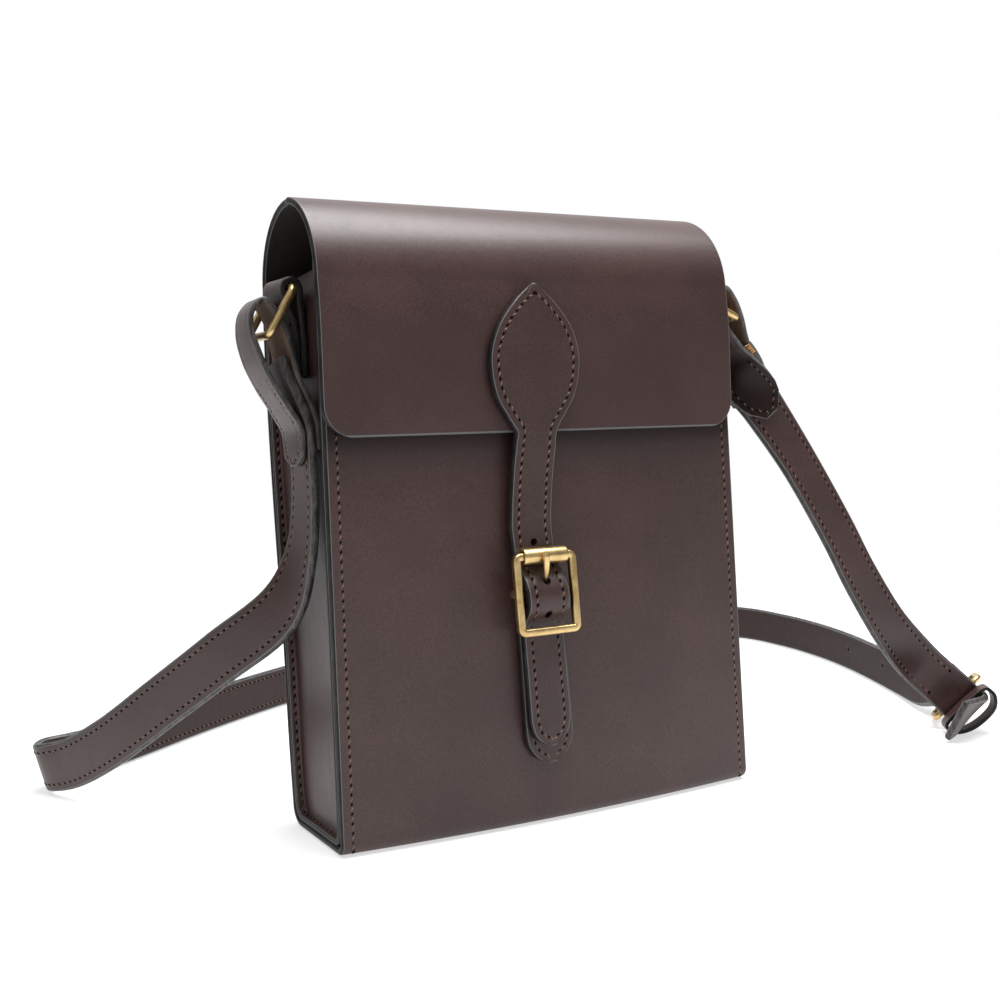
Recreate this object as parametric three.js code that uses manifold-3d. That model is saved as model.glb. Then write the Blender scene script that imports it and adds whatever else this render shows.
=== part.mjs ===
import * as THREE from "three";
import { mergeVertices } from "three/addons/utils/BufferGeometryUtils.js";
import Module from "manifold-3d";

const wasm = await Module();
wasm.setup();

// Sizes in millimetres. The bag stands on z = 0 with its front towards -Y.
const GAP = 0.3;
const WRAP = 2.8;
const GUSSET = 2.2;
const TAB = 2.2;
const LOOP = 2;
const STRAP = 3.4;
const CLOSURE = 3.2;
const CHAPE = 2.4;
const KEEPER = 1.7;
const HALF_WIDTH = 95.7;
const FRONT_Y = -26.2;
const FRONT_TOP = 200;
const BULGE = 5;
const BULGE_TOP = 140;
const ARCH = { y: 4, z: 214, radius: 32 };
const FLAP_Y = -29.3;
const FLAP_BOTTOM = 155.3;
const FLAP_CORNER = 12;
const FLARE = 0.8;
const FLARE_RIGHT = 1.2;
const WEB_INSET = 3.5;
const STRAP_HALF = 11;
const TAB_HALF = 10.6;
const RING_WIRE = 1.6;
const RING_HALF = 13.1;
const LEFT_RING_Y = 5.5;
const RIGHT_RING_Y = 3;
const BUCKLE = { x: -11.2, z: 93, y: -32.7, lean: -0.02, halfWidth: 12.5, halfHeight: 14.6, wire: 1.6 };
const BUCKLE_RISE = 5.5;
const BUCKLE_TILT = 0.06;
const ROLLER = { radius: 3.25, bore: 1.9, length: 19.4 };
const PRONG_WIRE = 1.3;
const HOLE_RADIUS = 1.5;

// The strap buckle lies askew on the floor: `along` runs away from the tongue's end, `out` to its side.
const STRAP_BUCKLE = { x: 240, y: -15, z: 15.4, wire: 1.5, halfWidth: 14.5, length: 20, rise: 4.3 };
const ALONG = new THREE.Vector3(0.574, 0.819, 0);
const ACROSS = new THREE.Vector3(0.579, -0.406, 0.707);
const OUT = new THREE.Vector3(0.579, -0.406, -0.707);

const leather = { color: 0x3a2a2a, roughness: 0.55, metalness: 0 };
const brass = { color: 0xbe965a, roughness: 0.35, metalness: 1 };

const at = (x, y, z) => new THREE.Vector3(x, y, z);
const lean = (z) => 0.7 - 0.029 * z;
const halfAt = (z) => HALF_WIDTH - 0.02 * z;

// Straight-line reading of a table of rows sorted by `key`.
function read(table, key, value, column) {
  const last = table.length - 1;
  const next = Math.min(Math.max(table.findIndex((row) => row[key] >= value), 1), last);
  const row = value > table[last][key] ? last : next;
  const low = table[row - 1];
  const high = table[row];
  const part = THREE.MathUtils.clamp((value - low[key]) / (high[key] - low[key]), 0, 1);
  return THREE.MathUtils.lerp(low[column], high[column], part);
}

// Closed geometry from shared points, turned so that its faces point out.
function closed(positions, index) {
  const geometry = new THREE.BufferGeometry();
  geometry.setAttribute("position", new THREE.Float32BufferAttribute(positions, 3));
  const corner = (i) => new THREE.Vector3().fromArray(positions, 3 * i);
  let volume = 0;
  for (let i = 0; i < index.length; i += 3) {
    volume += corner(index[i]).dot(corner(index[i + 1]).cross(corner(index[i + 2])));
  }
  geometry.setIndex(volume < 0 ? index.slice().reverse() : index);
  return mergeVertices(geometry, 1e-4);
}

// A sheet between two matching grids of points. A zipped sheet has its last column folded onto itself.
function sheetBetween(faceA, faceB, zipped = false) {
  const rows = faceA.length;
  const columns = faceA[0].length;
  const positions = [...faceA.flat(), ...faceB.flat()].flatMap((point) => point.toArray());
  const a = (row, column) => row * columns + column;
  const b = (row, column) => rows * columns + a(row, column);
  const index = [];
  const quad = (p, q, r, s) => index.push(p, q, r, p, r, s);
  for (let row = 0; row < rows - 1; row++) {
    for (let column = 0; column < columns - 1; column++) {
      quad(a(row, column), a(row, column + 1), a(row + 1, column + 1), a(row + 1, column));
      quad(b(row, column), b(row + 1, column), b(row + 1, column + 1), b(row, column + 1));
    }
    quad(a(row, 0), a(row + 1, 0), b(row + 1, 0), b(row, 0));
    const end = columns - 1;
    if (!zipped) {
      quad(a(row, end), b(row, end), b(row + 1, end), a(row + 1, end));
    }
  }
  for (let column = 0; column < columns - 1; column++) {
    const end = rows - 1;
    quad(a(0, column), b(0, column), b(0, column + 1), a(0, column + 1));
    quad(a(end, column), a(end, column + 1), b(end, column + 1), b(end, column));
  }
  return closed(positions, index);
}

// Stations along a route table: place x, y, z, across direction ax, ay, az, half width and thickness.
function stationsAlong(route, stepsPerRow) {
  const path = new THREE.CatmullRomCurve3(route.map((row) => at(row.x, row.y, row.z)), false, "centripetal");
  const turns = route.map((row) => at(row.ax, row.ay, row.az));
  const sides = new THREE.CatmullRomCurve3(turns, false, "catmullrom");
  const steps = (route.length - 1) * stepsPerRow;
  return Array.from({ length: steps + 1 }, (_, step) => {
    const tangent = path.getTangent(step / steps);
    const out = tangent.clone().cross(sides.getPoint(step / steps)).normalize();
    const row = Math.min(Math.floor(step / stepsPerRow), route.length - 2);
    const part = step / stepsPerRow - row;
    return {
      centre: path.getPoint(step / steps),
      out,
      across: out.clone().cross(tangent).normalize(),
      half: THREE.MathUtils.lerp(route[row].half, route[row + 1].half, part),
      thick: THREE.MathUtils.lerp(route[row].thick, route[row + 1].thick, part),
    };
  });
}

// A flat band of leather through its stations.
function band(stations) {
  const face = (side) => stations.map((station) => [-1, 1].map((edge) => station.centre.clone()
    .addScaledVector(station.across, edge * station.half)
    .addScaledVector(station.out, side * station.thick / 2)));
  return sheetBetween(face(1), face(-1));
}

// Extra points on the long stretches of a closed outline.
function refine(points, spacing) {
  return points.flatMap((point, i) => {
    const next = points[(i + 1) % points.length];
    const pieces = Math.max(1, Math.round(point.distanceTo(next) / spacing));
    return Array.from({ length: pieces }, (_, k) => point.clone().lerp(next, k / pieces));
  });
}

// A closed loop of round wire through a list of points, with eight-sided sections.
function wireLoop(points, radius) {
  const count = points.length;
  const centre = points.reduce((sum, point) => sum.add(point), at(0, 0, 0)).divideScalar(count);
  const quarter = points[Math.floor(count / 4)].clone().sub(centre);
  const normal = points[0].clone().sub(centre).cross(quarter).normalize();
  const positions = [];
  const index = [];
  points.forEach((point, i) => {
    const tangent = points[(i + 1) % count].clone().sub(points[(i + count - 1) % count]).normalize();
    const side = tangent.clone().cross(normal).normalize();
    const up = side.clone().cross(tangent);
    for (let k = 0; k < 8; k++) {
      const angle = (k + 0.5) * Math.PI / 4;
      positions.push(...point.clone()
        .addScaledVector(side, radius * Math.cos(angle))
        .addScaledVector(up, radius * Math.sin(angle)).toArray());
      const next = ((i + 1) % count) * 8;
      const turn = (k + 1) % 8;
      index.push(i * 8 + k, next + k, next + turn, i * 8 + k, next + turn, i * 8 + turn);
    }
  });
  return closed(positions, index);
}

// Corner points of a rounded rectangle in the plane of two directions.
function roundedRectangle(centre, acrossDirection, alongDirection, halfAcross, halfAlong, radius) {
  const points = [];
  for (const [sx, sy, start] of [[1, 1, 0], [-1, 1, 1], [-1, -1, 2], [1, -1, 3]]) {
    for (let k = 0; k < 4; k++) {
      const angle = (start + k / 3) * Math.PI / 2;
      points.push(centre.clone()
        .addScaledVector(acrossDirection, sx * (halfAcross - radius) + radius * Math.cos(angle))
        .addScaledVector(alongDirection, sy * (halfAlong - radius) + radius * Math.sin(angle)));
    }
  }
  return points;
}

// A bent wire through its points, with an eight-sided section.
function wire(points, radius, steps) {
  const section = new THREE.Shape().absarc(0, 0, radius, 0, 2 * Math.PI);
  const extrudePath = new THREE.CatmullRomCurve3(points);
  return new THREE.ExtrudeGeometry(section, { steps, curveSegments: 4, extrudePath });
}

function solid(geometry) {
  const bare = geometry.clone();
  bare.deleteAttribute("normal");
  bare.deleteAttribute("uv");
  const merged = mergeVertices(bare, 1e-4);
  const vertProperties = new Float32Array(merged.attributes.position.array);
  const triVerts = new Uint32Array(merged.index.array);
  return new wasm.Manifold(new wasm.Mesh({ numProp: 3, vertProperties, triVerts }));
}

function geometryOf(manifold) {
  const mesh = manifold.getMesh();
  const geometry = new THREE.BufferGeometry();
  geometry.setAttribute("position", new THREE.BufferAttribute(mesh.vertProperties, 3));
  geometry.setIndex(new THREE.BufferAttribute(mesh.triVerts, 1));
  return geometry;
}

function cut(geometry, ...cutters) {
  return geometryOf(cutters.reduce((rest, cutter) => rest.subtract(solid(cutter)), solid(geometry)));
}

// Outer face of the back, sorted by height.
const BACK = [
  { z: 8, y: 26.9 }, { z: 33, y: 28.9 }, { z: 74, y: 30.4 }, { z: 114, y: 33.8 },
  { z: 155, y: 36.4 }, { z: 185, y: 37.2 }, { z: 203, y: 36.9 }, { z: 214, y: 36 },
];

// Outer outline of the wrap in side view, from the front panel's hidden top round to the flap's lower edge.
function wrapOutline() {
  const rows = [];
  const arc = (y, z, radius, from, to, steps, column) => {
    for (let k = 0; k <= steps; k++) {
      const angle = THREE.MathUtils.degToRad(from + (to - from) * k / steps);
      rows.push({ y: y + radius * Math.cos(angle), z: z + radius * Math.sin(angle), ...column });
    }
  };
  for (const z of [FRONT_TOP, 170, 140, 112, 84, 56, 28, 12]) {
    rows.push({ y: FRONT_Y, z, bulge: 1 });
  }
  arc(FRONT_Y + 5, 5, 5, 180, 270, 4, { bulge: 1 });
  rows.push({ y: -8, z: 0, bulge: 0.4 }, { y: 6, z: 0, bulge: 0 });
  arc(18.9, 8, 8, 270, 360, 5, { bulge: 0 });
  for (const row of BACK.slice(1, -1)) {
    rows.push({ ...row, bulge: 0 });
  }
  arc(ARCH.y, ARCH.z, ARCH.radius, 0, 90, 10, { bulge: 0 });
  arc(ARCH.y, ARCH.z, ARCH.radius, 99, 180, 9, { bulge: 0, flare: true });
  rows.push({ y: -28.9, z: 205, bulge: 0, flare: true }, { y: FLAP_Y, z: 196, bulge: 0, flare: true });
  rows.push({ y: FLAP_Y, z: 180, bulge: 0, flare: true });
  for (let k = 0; k <= 4; k++) {
    const angle = k * Math.PI / 8;
    const corner = FLAP_CORNER * (1 - Math.cos(angle));
    const z = FLAP_BOTTOM + FLAP_CORNER * (1 - Math.sin(angle));
    rows.push({ y: FLAP_Y, z, bulge: 0, corner, flare: true });
  }
  return rows;
}

function bulgeAt(x, z, half) {
  return BULGE * (1 - (x / half) ** 2) * Math.max(0, 1 - z / BULGE_TOP);
}

// The flap is a little wider than the body: even on the left, growing towards the top on the right.
function flareAt(column, z) {
  const right = FLARE_RIGHT * THREE.MathUtils.clamp((z - 160) / 54, 0, 1);
  return FLARE * (column - 1) + right * (column + 1) / 2;
}

function bodyWrap() {
  const rows = wrapOutline();
  const columns = [-1, -0.93, -0.7, -0.35, 0, 0.35, 0.7, 0.93, 1];
  const face = (depth) => rows.map((row, i) => {
    const before = rows[Math.max(i - 1, 0)];
    const after = rows[Math.min(i + 1, rows.length - 1)];
    const run = Math.hypot(after.y - before.y, after.z - before.z);
    const inY = -(after.z - before.z) / run;
    const inZ = (after.y - before.y) / run;
    const half = halfAt(row.z) - (row.corner ?? 0);
    return columns.map((column) => {
      const x = column * half;
      const shift = lean(row.z) + (row.flare ? flareAt(column, row.z) : 0);
      const y = row.y - row.bulge * bulgeAt(x, row.z, half);
      return at(x + shift, y + depth * inY, row.z + depth * inZ);
    });
  });
  return sheetBetween(face(0), face(WRAP));
}

// Stations of a gusset's edge along the wrap's inner face: front top, down, along the bottom, up the back.
function gussetEdge() {
  const inside = WRAP + GAP;
  const front = [221, 214, 206, 196, 160, 120, 80, 40, 14].map((z) => {
    return { y: FRONT_Y + inside, z, ny: 1, nz: 0 };
  });
  const back = [216, 211, 203, 185, 155, 114, 74, 33, 14].map((z) => {
    return { y: read(BACK, "z", z, "y") - inside - (z > 205 ? 0.2 : 0), z, ny: -1, nz: 0 };
  });
  const fold = (y, z, radius, from) => [0, 30, 60, 90].map((turn) => {
    const angle = THREE.MathUtils.degToRad(from + turn);
    const ny = -Math.cos(angle);
    const nz = -Math.sin(angle);
    return { y: y - radius * ny, z: z - radius * nz, ny, nz };
  });
  const bottom = [-6, 2, 10].map((y) => ({ y, z: inside, ny: 0, nz: 1 }));
  const frontFold = fold(FRONT_Y + 8, 8, 8 - inside, 180);
  const backFold = fold(17.4, 9.2, 9.2 - inside, 270);
  return [...front, ...frontFold, ...bottom, ...backFold, ...back.reverse()];
}

// A side wall: a web set in from the edge, with flanges turned outward along front, bottom and back.
function gusset(side) {
  const edge = gussetEdge();
  const inner = [
    { a: 0, b: WEB_INSET }, { a: 0, b: -1 }, { a: 0.6, b: -1.8 }, { a: 1.6, b: -GUSSET },
    { a: 4.5, b: -GUSSET },
  ];
  const outer = [
    { a: GUSSET, b: WEB_INSET }, { a: GUSSET, b: 0.8 }, { a: 2.5, b: 0.3 }, { a: 3.1, b: 0 },
    { a: 4.5, b: 0 },
  ];
  const topLean = (z) => 4 * Math.max(0, (z - 198) / 20) ** 2;
  const place = (y, z, b, web) => {
    const reach = halfAt(z) - WEB_INSET + b - (web ? topLean(z) : 0);
    return at(side * reach + lean(z), y, z);
  };
  const face = (section) => edge.map((station, i) => {
    const points = section.map((step, k) => {
      return place(station.y + step.a * station.ny, station.z + step.a * station.nz, step.b, k > 2);
    });
    const spine = Math.min(i, edge.length - 1 - i);
    const mean = (edge[spine].z + edge[edge.length - 1 - spine].z) / 2;
    const spineZ = spine < 8 ? mean : 24 - 1.6 * (spine - 8);
    points.push(place(3.5, spineZ, section[4].b, true));
    return points;
  });
  return sheetBetween(face(inner), face(outer), true);
}

const webX = (side, z) => side * (halfAt(z) - WEB_INSET) + lean(z);

// Folded tab: distance `off` from the side wall and height z along its middle layer.
const TAB_FOLD = [
  { off: 1.5, z: 178 }, { off: 1.5, z: 190 }, { off: 1.8, z: 200 }, { off: 2.4, z: 206.5 },
  { off: 2.4, z: 211.5 }, { off: 3.5, z: 213.8 }, { off: 5.8, z: 214.8 }, { off: 8.1, z: 213.8 },
  { off: 9.1, z: 211.5 },
  { off: 8.3, z: 207.5 }, { off: 5.3, z: 200 }, { off: 4.2, z: 190 }, { off: 4, z: 180 },
];

function ringTab(side, y) {
  const route = TAB_FOLD.map(({ off, z }) => {
    return { x: webX(side, z) + side * off, y, z, ax: 0, ay: 1, az: 0, half: TAB_HALF, thick: TAB };
  });
  return band(stationsAlong(route, 1));
}

// A ring hangs from its tab's fold and leans out to its lower bar.
function ring(side, lowX, y, lowZ) {
  const top = at(webX(side, 211.5) + side * 5.8, y, 211.5);
  const low = at(lowX, y, lowZ);
  const middle = top.clone().add(low).divideScalar(2);
  const half = top.distanceTo(low) / 2;
  const down = low.clone().sub(top).normalize();
  return wireLoop(roundedRectangle(middle, at(0, 1, 0), down, RING_HALF, half, 2.4), RING_WIRE);
}

// Closure strap from its lower tip up to the leaf's point, along its middle layer.
const CLOSURE_ROUTE = [
  { z: 32, x: -8.6, y: -34.7, half: 1.2 }, { z: 35, x: -8.9, y: -34.6, half: 6.2 },
  { z: 38.5, x: -9.2, y: -34.5, half: 8.6 }, { z: 43, x: -9.4, y: -34.3, half: 9.5 },
  { z: 60, x: -10.2, y: -33.7, half: 9.5 }, { z: 71, x: -10.7, y: -33.2, half: 9.5 },
  { z: 79, x: -11.1, y: -33.2, half: 9.5 }, { z: 83, x: -11.3, y: -35.1, half: 9.5 },
  { z: 88.2, x: -11.6, y: -39.2, half: 9.5 }, { z: 93, x: -12, y: -39.6, half: 9.5 },
  { z: 96.5, x: -12.2, y: -38.2, half: 9.5 }, { z: 100, x: -12.5, y: -35.4, half: 9.5 },
  { z: 103.6, x: -12.9, y: -32.9, half: 9.5 }, { z: 107.6, x: -13.3, y: -31.5, half: 9.5 },
  { z: 113, x: -13.8, y: -31, half: 9.5 }, { z: 120, x: -14.1, y: -30.6, half: 9.5 },
  { z: 140, x: -12.7, y: -30.7, half: 9.5 }, { z: 150, x: -11.5, y: -31.1, half: 9.5 },
  { z: 155.4, x: -11, y: -31.3, half: 9.5 }, { z: 161.2, x: -11, y: -31.3, half: 13 },
  { z: 168.6, x: -11, y: -31.3, half: 17.6 }, { z: 177.4, x: -10.8, y: -31.3, half: 20 },
  { z: 187, x: -10.6, y: -31.3, half: 20.1 }, { z: 197.2, x: -10.5, y: -31.3, half: 16.3 },
  { z: 206.4, x: -10.4, y: -30.8, half: 8.9 }, { z: 213, x: -10.3, y: -30.2, half: 0.8 },
];
const CLOSURE_HOLES = [{ z: 84.7, x: -11.4, y: -37 }, { z: 112.6, x: -13.8, y: -31.3 }];

function closureStrap() {
  const route = CLOSURE_ROUTE.map((row) => ({ ...row, ax: 1, ay: 0, az: 0, thick: CLOSURE }));
  const holes = CLOSURE_HOLES.map((hole) => {
    return new THREE.CylinderGeometry(HOLE_RADIUS, HOLE_RADIUS, 12, 10).translate(hole.x, hole.y, hole.z);
  });
  return cut(band(stationsAlong(route, 1)), ...holes, frontProngWire(PRONG_WIRE + 0.4));
}

// Buckle backing from its lower tip up behind the middle bar and over it.
const CHAPE_ROUTE = [
  { z: 24.5, x: -7.2, y: -31.9, half: 1.5 }, { z: 27.5, x: -7.5, y: -31.8, half: 7 },
  { z: 31.5, x: -7.8, y: -31.7, half: 9.8 }, { z: 36, x: -8.1, y: -31.5, half: 11 },
  { z: 60, x: -9.2, y: -30.6, half: 10.8 }, { z: 78, x: -10.2, y: -30, half: 10.4 },
  { z: 88, x: -10.9, y: -29.6, half: 9 }, { z: 93, x: -11.2, y: -29.4, half: 8.4 },
  { z: 95.3, x: -11.3, y: -30.4, half: 8.4 }, { z: 96.3, x: -11.3, y: -32.7, half: 8.4 },
  { z: 95.3, x: -11.3, y: -35, half: 8.4 }, { z: 93, x: -11.2, y: -36, half: 8.4 },
  { z: 89.4, x: -11.1, y: -35.9, half: 8.4 },
];

function buckleChape() {
  const route = CHAPE_ROUTE.map((row) => ({ ...row, ax: 1, ay: 0, az: BUCKLE.lean, thick: CHAPE }));
  const slot = new THREE.BoxGeometry(3.8, 16, 12).translate(BUCKLE.x, BUCKLE.y - 1, BUCKLE.z + 1);
  return cut(band(stationsAlong(route, 1)), slot);
}

// A point of the front buckle: `a` across, `o` outward from the middle bar, `h` up the strap.
function onBuckle(a, o, h) {
  return at(BUCKLE.x + a - BUCKLE.lean * h, BUCKLE.y - o, BUCKLE.z + h + BUCKLE.lean * a);
}

// The frame lies flat, out from the bag; its middle bar is set lower on two posts.
const frameOut = (h) => BUCKLE_RISE - BUCKLE_TILT * h;

function buckleFrame() {
  const { halfWidth, halfHeight } = BUCKLE;
  const flat = roundedRectangle(at(0, 0, 0), at(1, 0, 0), at(0, 0, 1), halfWidth, halfHeight, 1.7);
  const frame = flat.map((point) => onBuckle(point.x, frameOut(point.z), point.z));
  const bend = [[halfWidth, 5], [halfWidth, 2.2], [halfWidth - 1.6, 0.1], [halfWidth - 4, 0]];
  const left = bend.map(([a, o]) => onBuckle(-a, o, 0));
  const right = bend.map(([a, o]) => onBuckle(a, o, 0)).reverse();
  const bar = wire([...left, ...right], BUCKLE.wire, 24);
  return geometryOf(solid(wireLoop(frame, BUCKLE.wire)).add(solid(bar)));
}

function buckleRoller() {
  const tube = new THREE.CylinderGeometry(ROLLER.radius, ROLLER.radius, ROLLER.length, 20);
  const bore = new THREE.CylinderGeometry(ROLLER.bore, ROLLER.bore, ROLLER.length + 2, 12);
  const { x, y, z } = onBuckle(0, frameOut(BUCKLE.halfHeight), BUCKLE.halfHeight);
  return cut(tube, bore).rotateZ(Math.PI / 2).rotateY(-BUCKLE.lean).translate(x, y, z);
}

const FRONT_PRONG = [
  { o: 1.8, h: -3 }, { o: -1.8, h: -3 }, { o: -3.4, h: 0 }, { o: -1.8, h: 3 }, { o: 1.6, h: 3.4 },
  { o: 3.8, h: 4.6 }, { o: 6.4, h: 7.2 }, { o: 8.6, h: 10.8 }, { o: 9.3, h: 14.4 }, { o: 9.2, h: 16.6 },
];

function frontProngWire(radius) {
  return wire(FRONT_PRONG.map((row) => onBuckle(0, row.o, row.h)), radius, 30);
}

// The left end piece goes up along the side wall, through the ring and down outside the strap's end.
const LEFT_LOOP = [
  { x: -94.4, y: -5.8, z: 150 }, { x: -94.4, y: -4.5, z: 160 }, { x: -96.4, y: -2, z: 169 },
  { x: -99.4, y: 0.5, z: 178 }, { x: -101.2, y: 3.2, z: 190 }, { x: -104, y: 5.2, z: 201, ax: -0.06 },
  { x: -109, y: 5.3, z: 207, ax: -0.1 }, { x: -113.6, y: 5.3, z: 203, ax: -0.1 },
  { x: -114.6, y: 5.2, z: 195.5, ax: -0.06 }, { x: -112.8, y: 3.2, z: 186 }, { x: -109, y: 1, z: 176 },
  { x: -104, y: -2, z: 166 }, { x: -100.7, y: -4.5, z: 158 }, { x: -100.4, y: -5.8, z: 149, half: 9.5 },
  { x: -100.4, y: -6, z: 145, half: 3.5 },
];

function strapLoopLeft() {
  const route = LEFT_LOOP.map((row) => ({ half: STRAP_HALF, ax: 0, ...row, ay: -1, az: 0, thick: LOOP }));
  return band(stationsAlong(route, 2));
}

// A point by the strap buckle: s along, w across, n out from its hinge bar.
function atStrapBuckle(s, w, n) {
  return at(STRAP_BUCKLE.x, STRAP_BUCKLE.y, STRAP_BUCKLE.z)
    .addScaledVector(ALONG, s).addScaledVector(ACROSS, w).addScaledVector(OUT, n);
}

function buckleRow(s, w, n, side, thick) {
  const { x, y, z } = atStrapBuckle(s, w, n);
  return { x, y, z, ax: side * ACROSS.x, ay: side * ACROSS.y, az: side * ACROSS.z, thick };
}

// Long strap: down the left side, twisting onto its edge, round behind the bag and forward to the buckle.
const LONG_ROUTE = [
  { x: -104.2, y: 2.4, z: 184, ax: 0, ay: -1, az: 0 }, { x: -102.8, y: 1, z: 178, ax: 0, ay: -1, az: 0 },
  { x: -100.1, y: -1.8, z: 169.5, ax: 0, ay: -1, az: 0 }, { x: -97.6, y: -4.5, z: 160, ax: 0, ay: -1, az: 0 },
  { x: -97.3, y: -5.8, z: 150, ax: 0, ay: -1, az: 0 }, { x: -97.3, y: -5.8, z: 129, ax: 0.03, ay: -1, az: 0 },
  { x: -99, y: -4, z: 111, ax: 0.12, ay: -0.99, az: 0 },
  { x: -104.5, y: 3, z: 92, ax: 0.4, ay: -0.9, az: -0.16 },
  { x: -121.5, y: 32.3, z: 69, ax: 0.27, ay: -0.48, az: -0.84 },
  { x: -137.6, y: 60.5, z: 48.4, ax: 0.27, ay: -0.47, az: -0.84 },
  { x: -154.5, y: 90, z: 27.2, ax: 0.25, ay: -0.43, az: -0.87 },
  { x: -166, y: 112, z: 15.6, ax: 0.26, ay: -0.35, az: -0.9 },
  { x: -174, y: 128, z: 11.6, ax: 0.25, ay: -0.12, az: -0.96 },
  { x: -171, y: 137, z: 11.4, ax: 0.18, ay: -0.12, az: -0.97 },
  { x: -160, y: 141, z: 11.4, ax: 0.1, ay: -0.1, az: -0.99 },
  { x: -150, y: 146.5, z: 11.3, ax: 0, ay: 0, az: -1 },
  { x: -128, y: 162, z: 11.3, ax: 0, ay: 0, az: -1 }, { x: -78, y: 201, z: 11.3, ax: 0, ay: 0, az: -1 },
  { x: -23, y: 238, z: 11.3, ax: 0, ay: 0, az: -1 }, { x: 60, y: 284, z: 11.3, ax: 0, ay: 0, az: -1 },
  { x: 150, y: 308, z: 11.3, ax: 0, ay: 0, az: -1 }, { x: 230, y: 312, z: 11.3, ax: 0, ay: 0, az: -1 },
  { x: 290, y: 292, z: 11.3, ax: 0, ay: 0, az: -1 }, { x: 321, y: 252, z: 11.3, ax: 0, ay: 0, az: -1 },
  { x: 322.5, y: 207, z: 11.3, ax: 0, ay: 0, az: -1 }, { x: 315, y: 164, z: 11.3, ax: 0, ay: 0, az: -1 },
  { x: 302.5, y: 124, z: 11.3, ax: 0, ay: 0, az: -1 }, { x: 286, y: 84, z: 11.3, ax: 0, ay: 0, az: -1 },
  { x: 271, y: 50, z: 11.5, ax: -0.1, ay: 0.05, az: -1 },
  { x: 259, y: 24, z: 12.4, ax: -0.31, ay: 0.18, az: -0.93 },
];
const TONGUE_ROUTE = [
  { x: 233.4, y: -28.9, z: 11.6, ax: -0.56, ay: 0.41, az: -0.72 },
  { x: 225, y: -33, z: 11.2, ax: -0.38, ay: 0.4, az: -0.83 },
  { x: 215.5, y: -36.5, z: 11.2, ax: -0.3, ay: 0.36, az: -0.88 },
];
const TONGUE_HOLES = [{ x: 282, y: 75 }, { x: 302, y: 123 }];

function strapLong() {
  const middle = [
    buckleRow(20, 0, 0.6, -1), buckleRow(10, 0, 3.4, -1),
    buckleRow(0, 0.6, 5.9, -1), buckleRow(-7, 0.5, 5.7, -1),
  ];
  const rows = [...LONG_ROUTE, ...middle, ...TONGUE_ROUTE];
  const route = rows.map((row) => ({ ...row, half: STRAP_HALF, thick: STRAP }));
  const holes = TONGUE_HOLES.map((hole) => {
    const pin = new THREE.CylinderGeometry(HOLE_RADIUS, HOLE_RADIUS, 12, 10);
    return pin.rotateZ(Math.PI / 2).translate(hole.x, hole.y, 13);
  });
  return cut(band(stationsAlong(route, 3)), ...holes, strapProngWire(1.4));
}

// Short strap: from the right end piece down to the floor, round the buckle's hinge bar and back on itself.
const SHORT_ROUTE = [
  { x: 112.5, y: 2.6, z: 189, ax: 0.2, ay: -0.97, az: 0.1 },
  { x: 117, y: 1.8, z: 181, ax: 0.5, ay: -0.8, az: 0.33 },
  { x: 122, y: 0.8, z: 173, ax: 0.72, ay: -0.4, az: 0.53 },
  { x: 128, y: -0.4, z: 165, ax: 0.8, ay: -0.1, az: 0.6 },
  { x: 147.6, y: -2.6, z: 138.5, ax: 0.83, ay: 0.1, az: 0.55 },
  { x: 170.4, y: -4.6, z: 103.4, ax: 0.85, ay: 0.1, az: 0.53 },
  { x: 184.4, y: -5.8, z: 79.5, ax: 0.84, ay: 0.06, az: 0.54 },
  { x: 203.4, y: -6.9, z: 52.6, ax: 0.8, ay: -0.05, az: 0.6 },
];

function strapShort() {
  const end = [
    buckleRow(-2.8, -0.6, -26, 1, STRAP), buckleRow(-2.8, -0.4, -14, 1, STRAP), buckleRow(-2.8, 0, -6, 1, 2.4),
    buckleRow(-2.8, 0, 0, 1, 2), buckleRow(-2, 0, 2, 1, 2), buckleRow(0, 0, 2.8, 1, 2), buckleRow(2, 0, 2, 1, 2),
    buckleRow(2.8, 0, 0, 1, 2), buckleRow(2.7, 0, -6, 1, 2), buckleRow(2.5, 0, -13, 1, 2),
  ];
  const route = [...SHORT_ROUTE, ...end].map((row) => ({ thick: STRAP, ...row, half: STRAP_HALF }));
  const slot = new THREE.BoxGeometry(3.2, 14, 9).applyMatrix4(strapBuckleBasis(0));
  return cut(band(stationsAlong(route, 4)), slot);
}

// The right end piece's fold through the ring; its legs lie on both faces of the short strap's end.
const RIGHT_FOLD = [
  { x: 104.3, y: 2.8, z: 198 }, { x: 100.4, y: 3, z: 205.5 }, { x: 100.2, y: 3, z: 213.4 },
  { x: 103.2, y: 3, z: 216.6 },
  { x: 108.3, y: 3, z: 211.5 }, { x: 112.2, y: 2.9, z: 203 }, { x: 114, y: 2.8, z: 196 },
];

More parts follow.
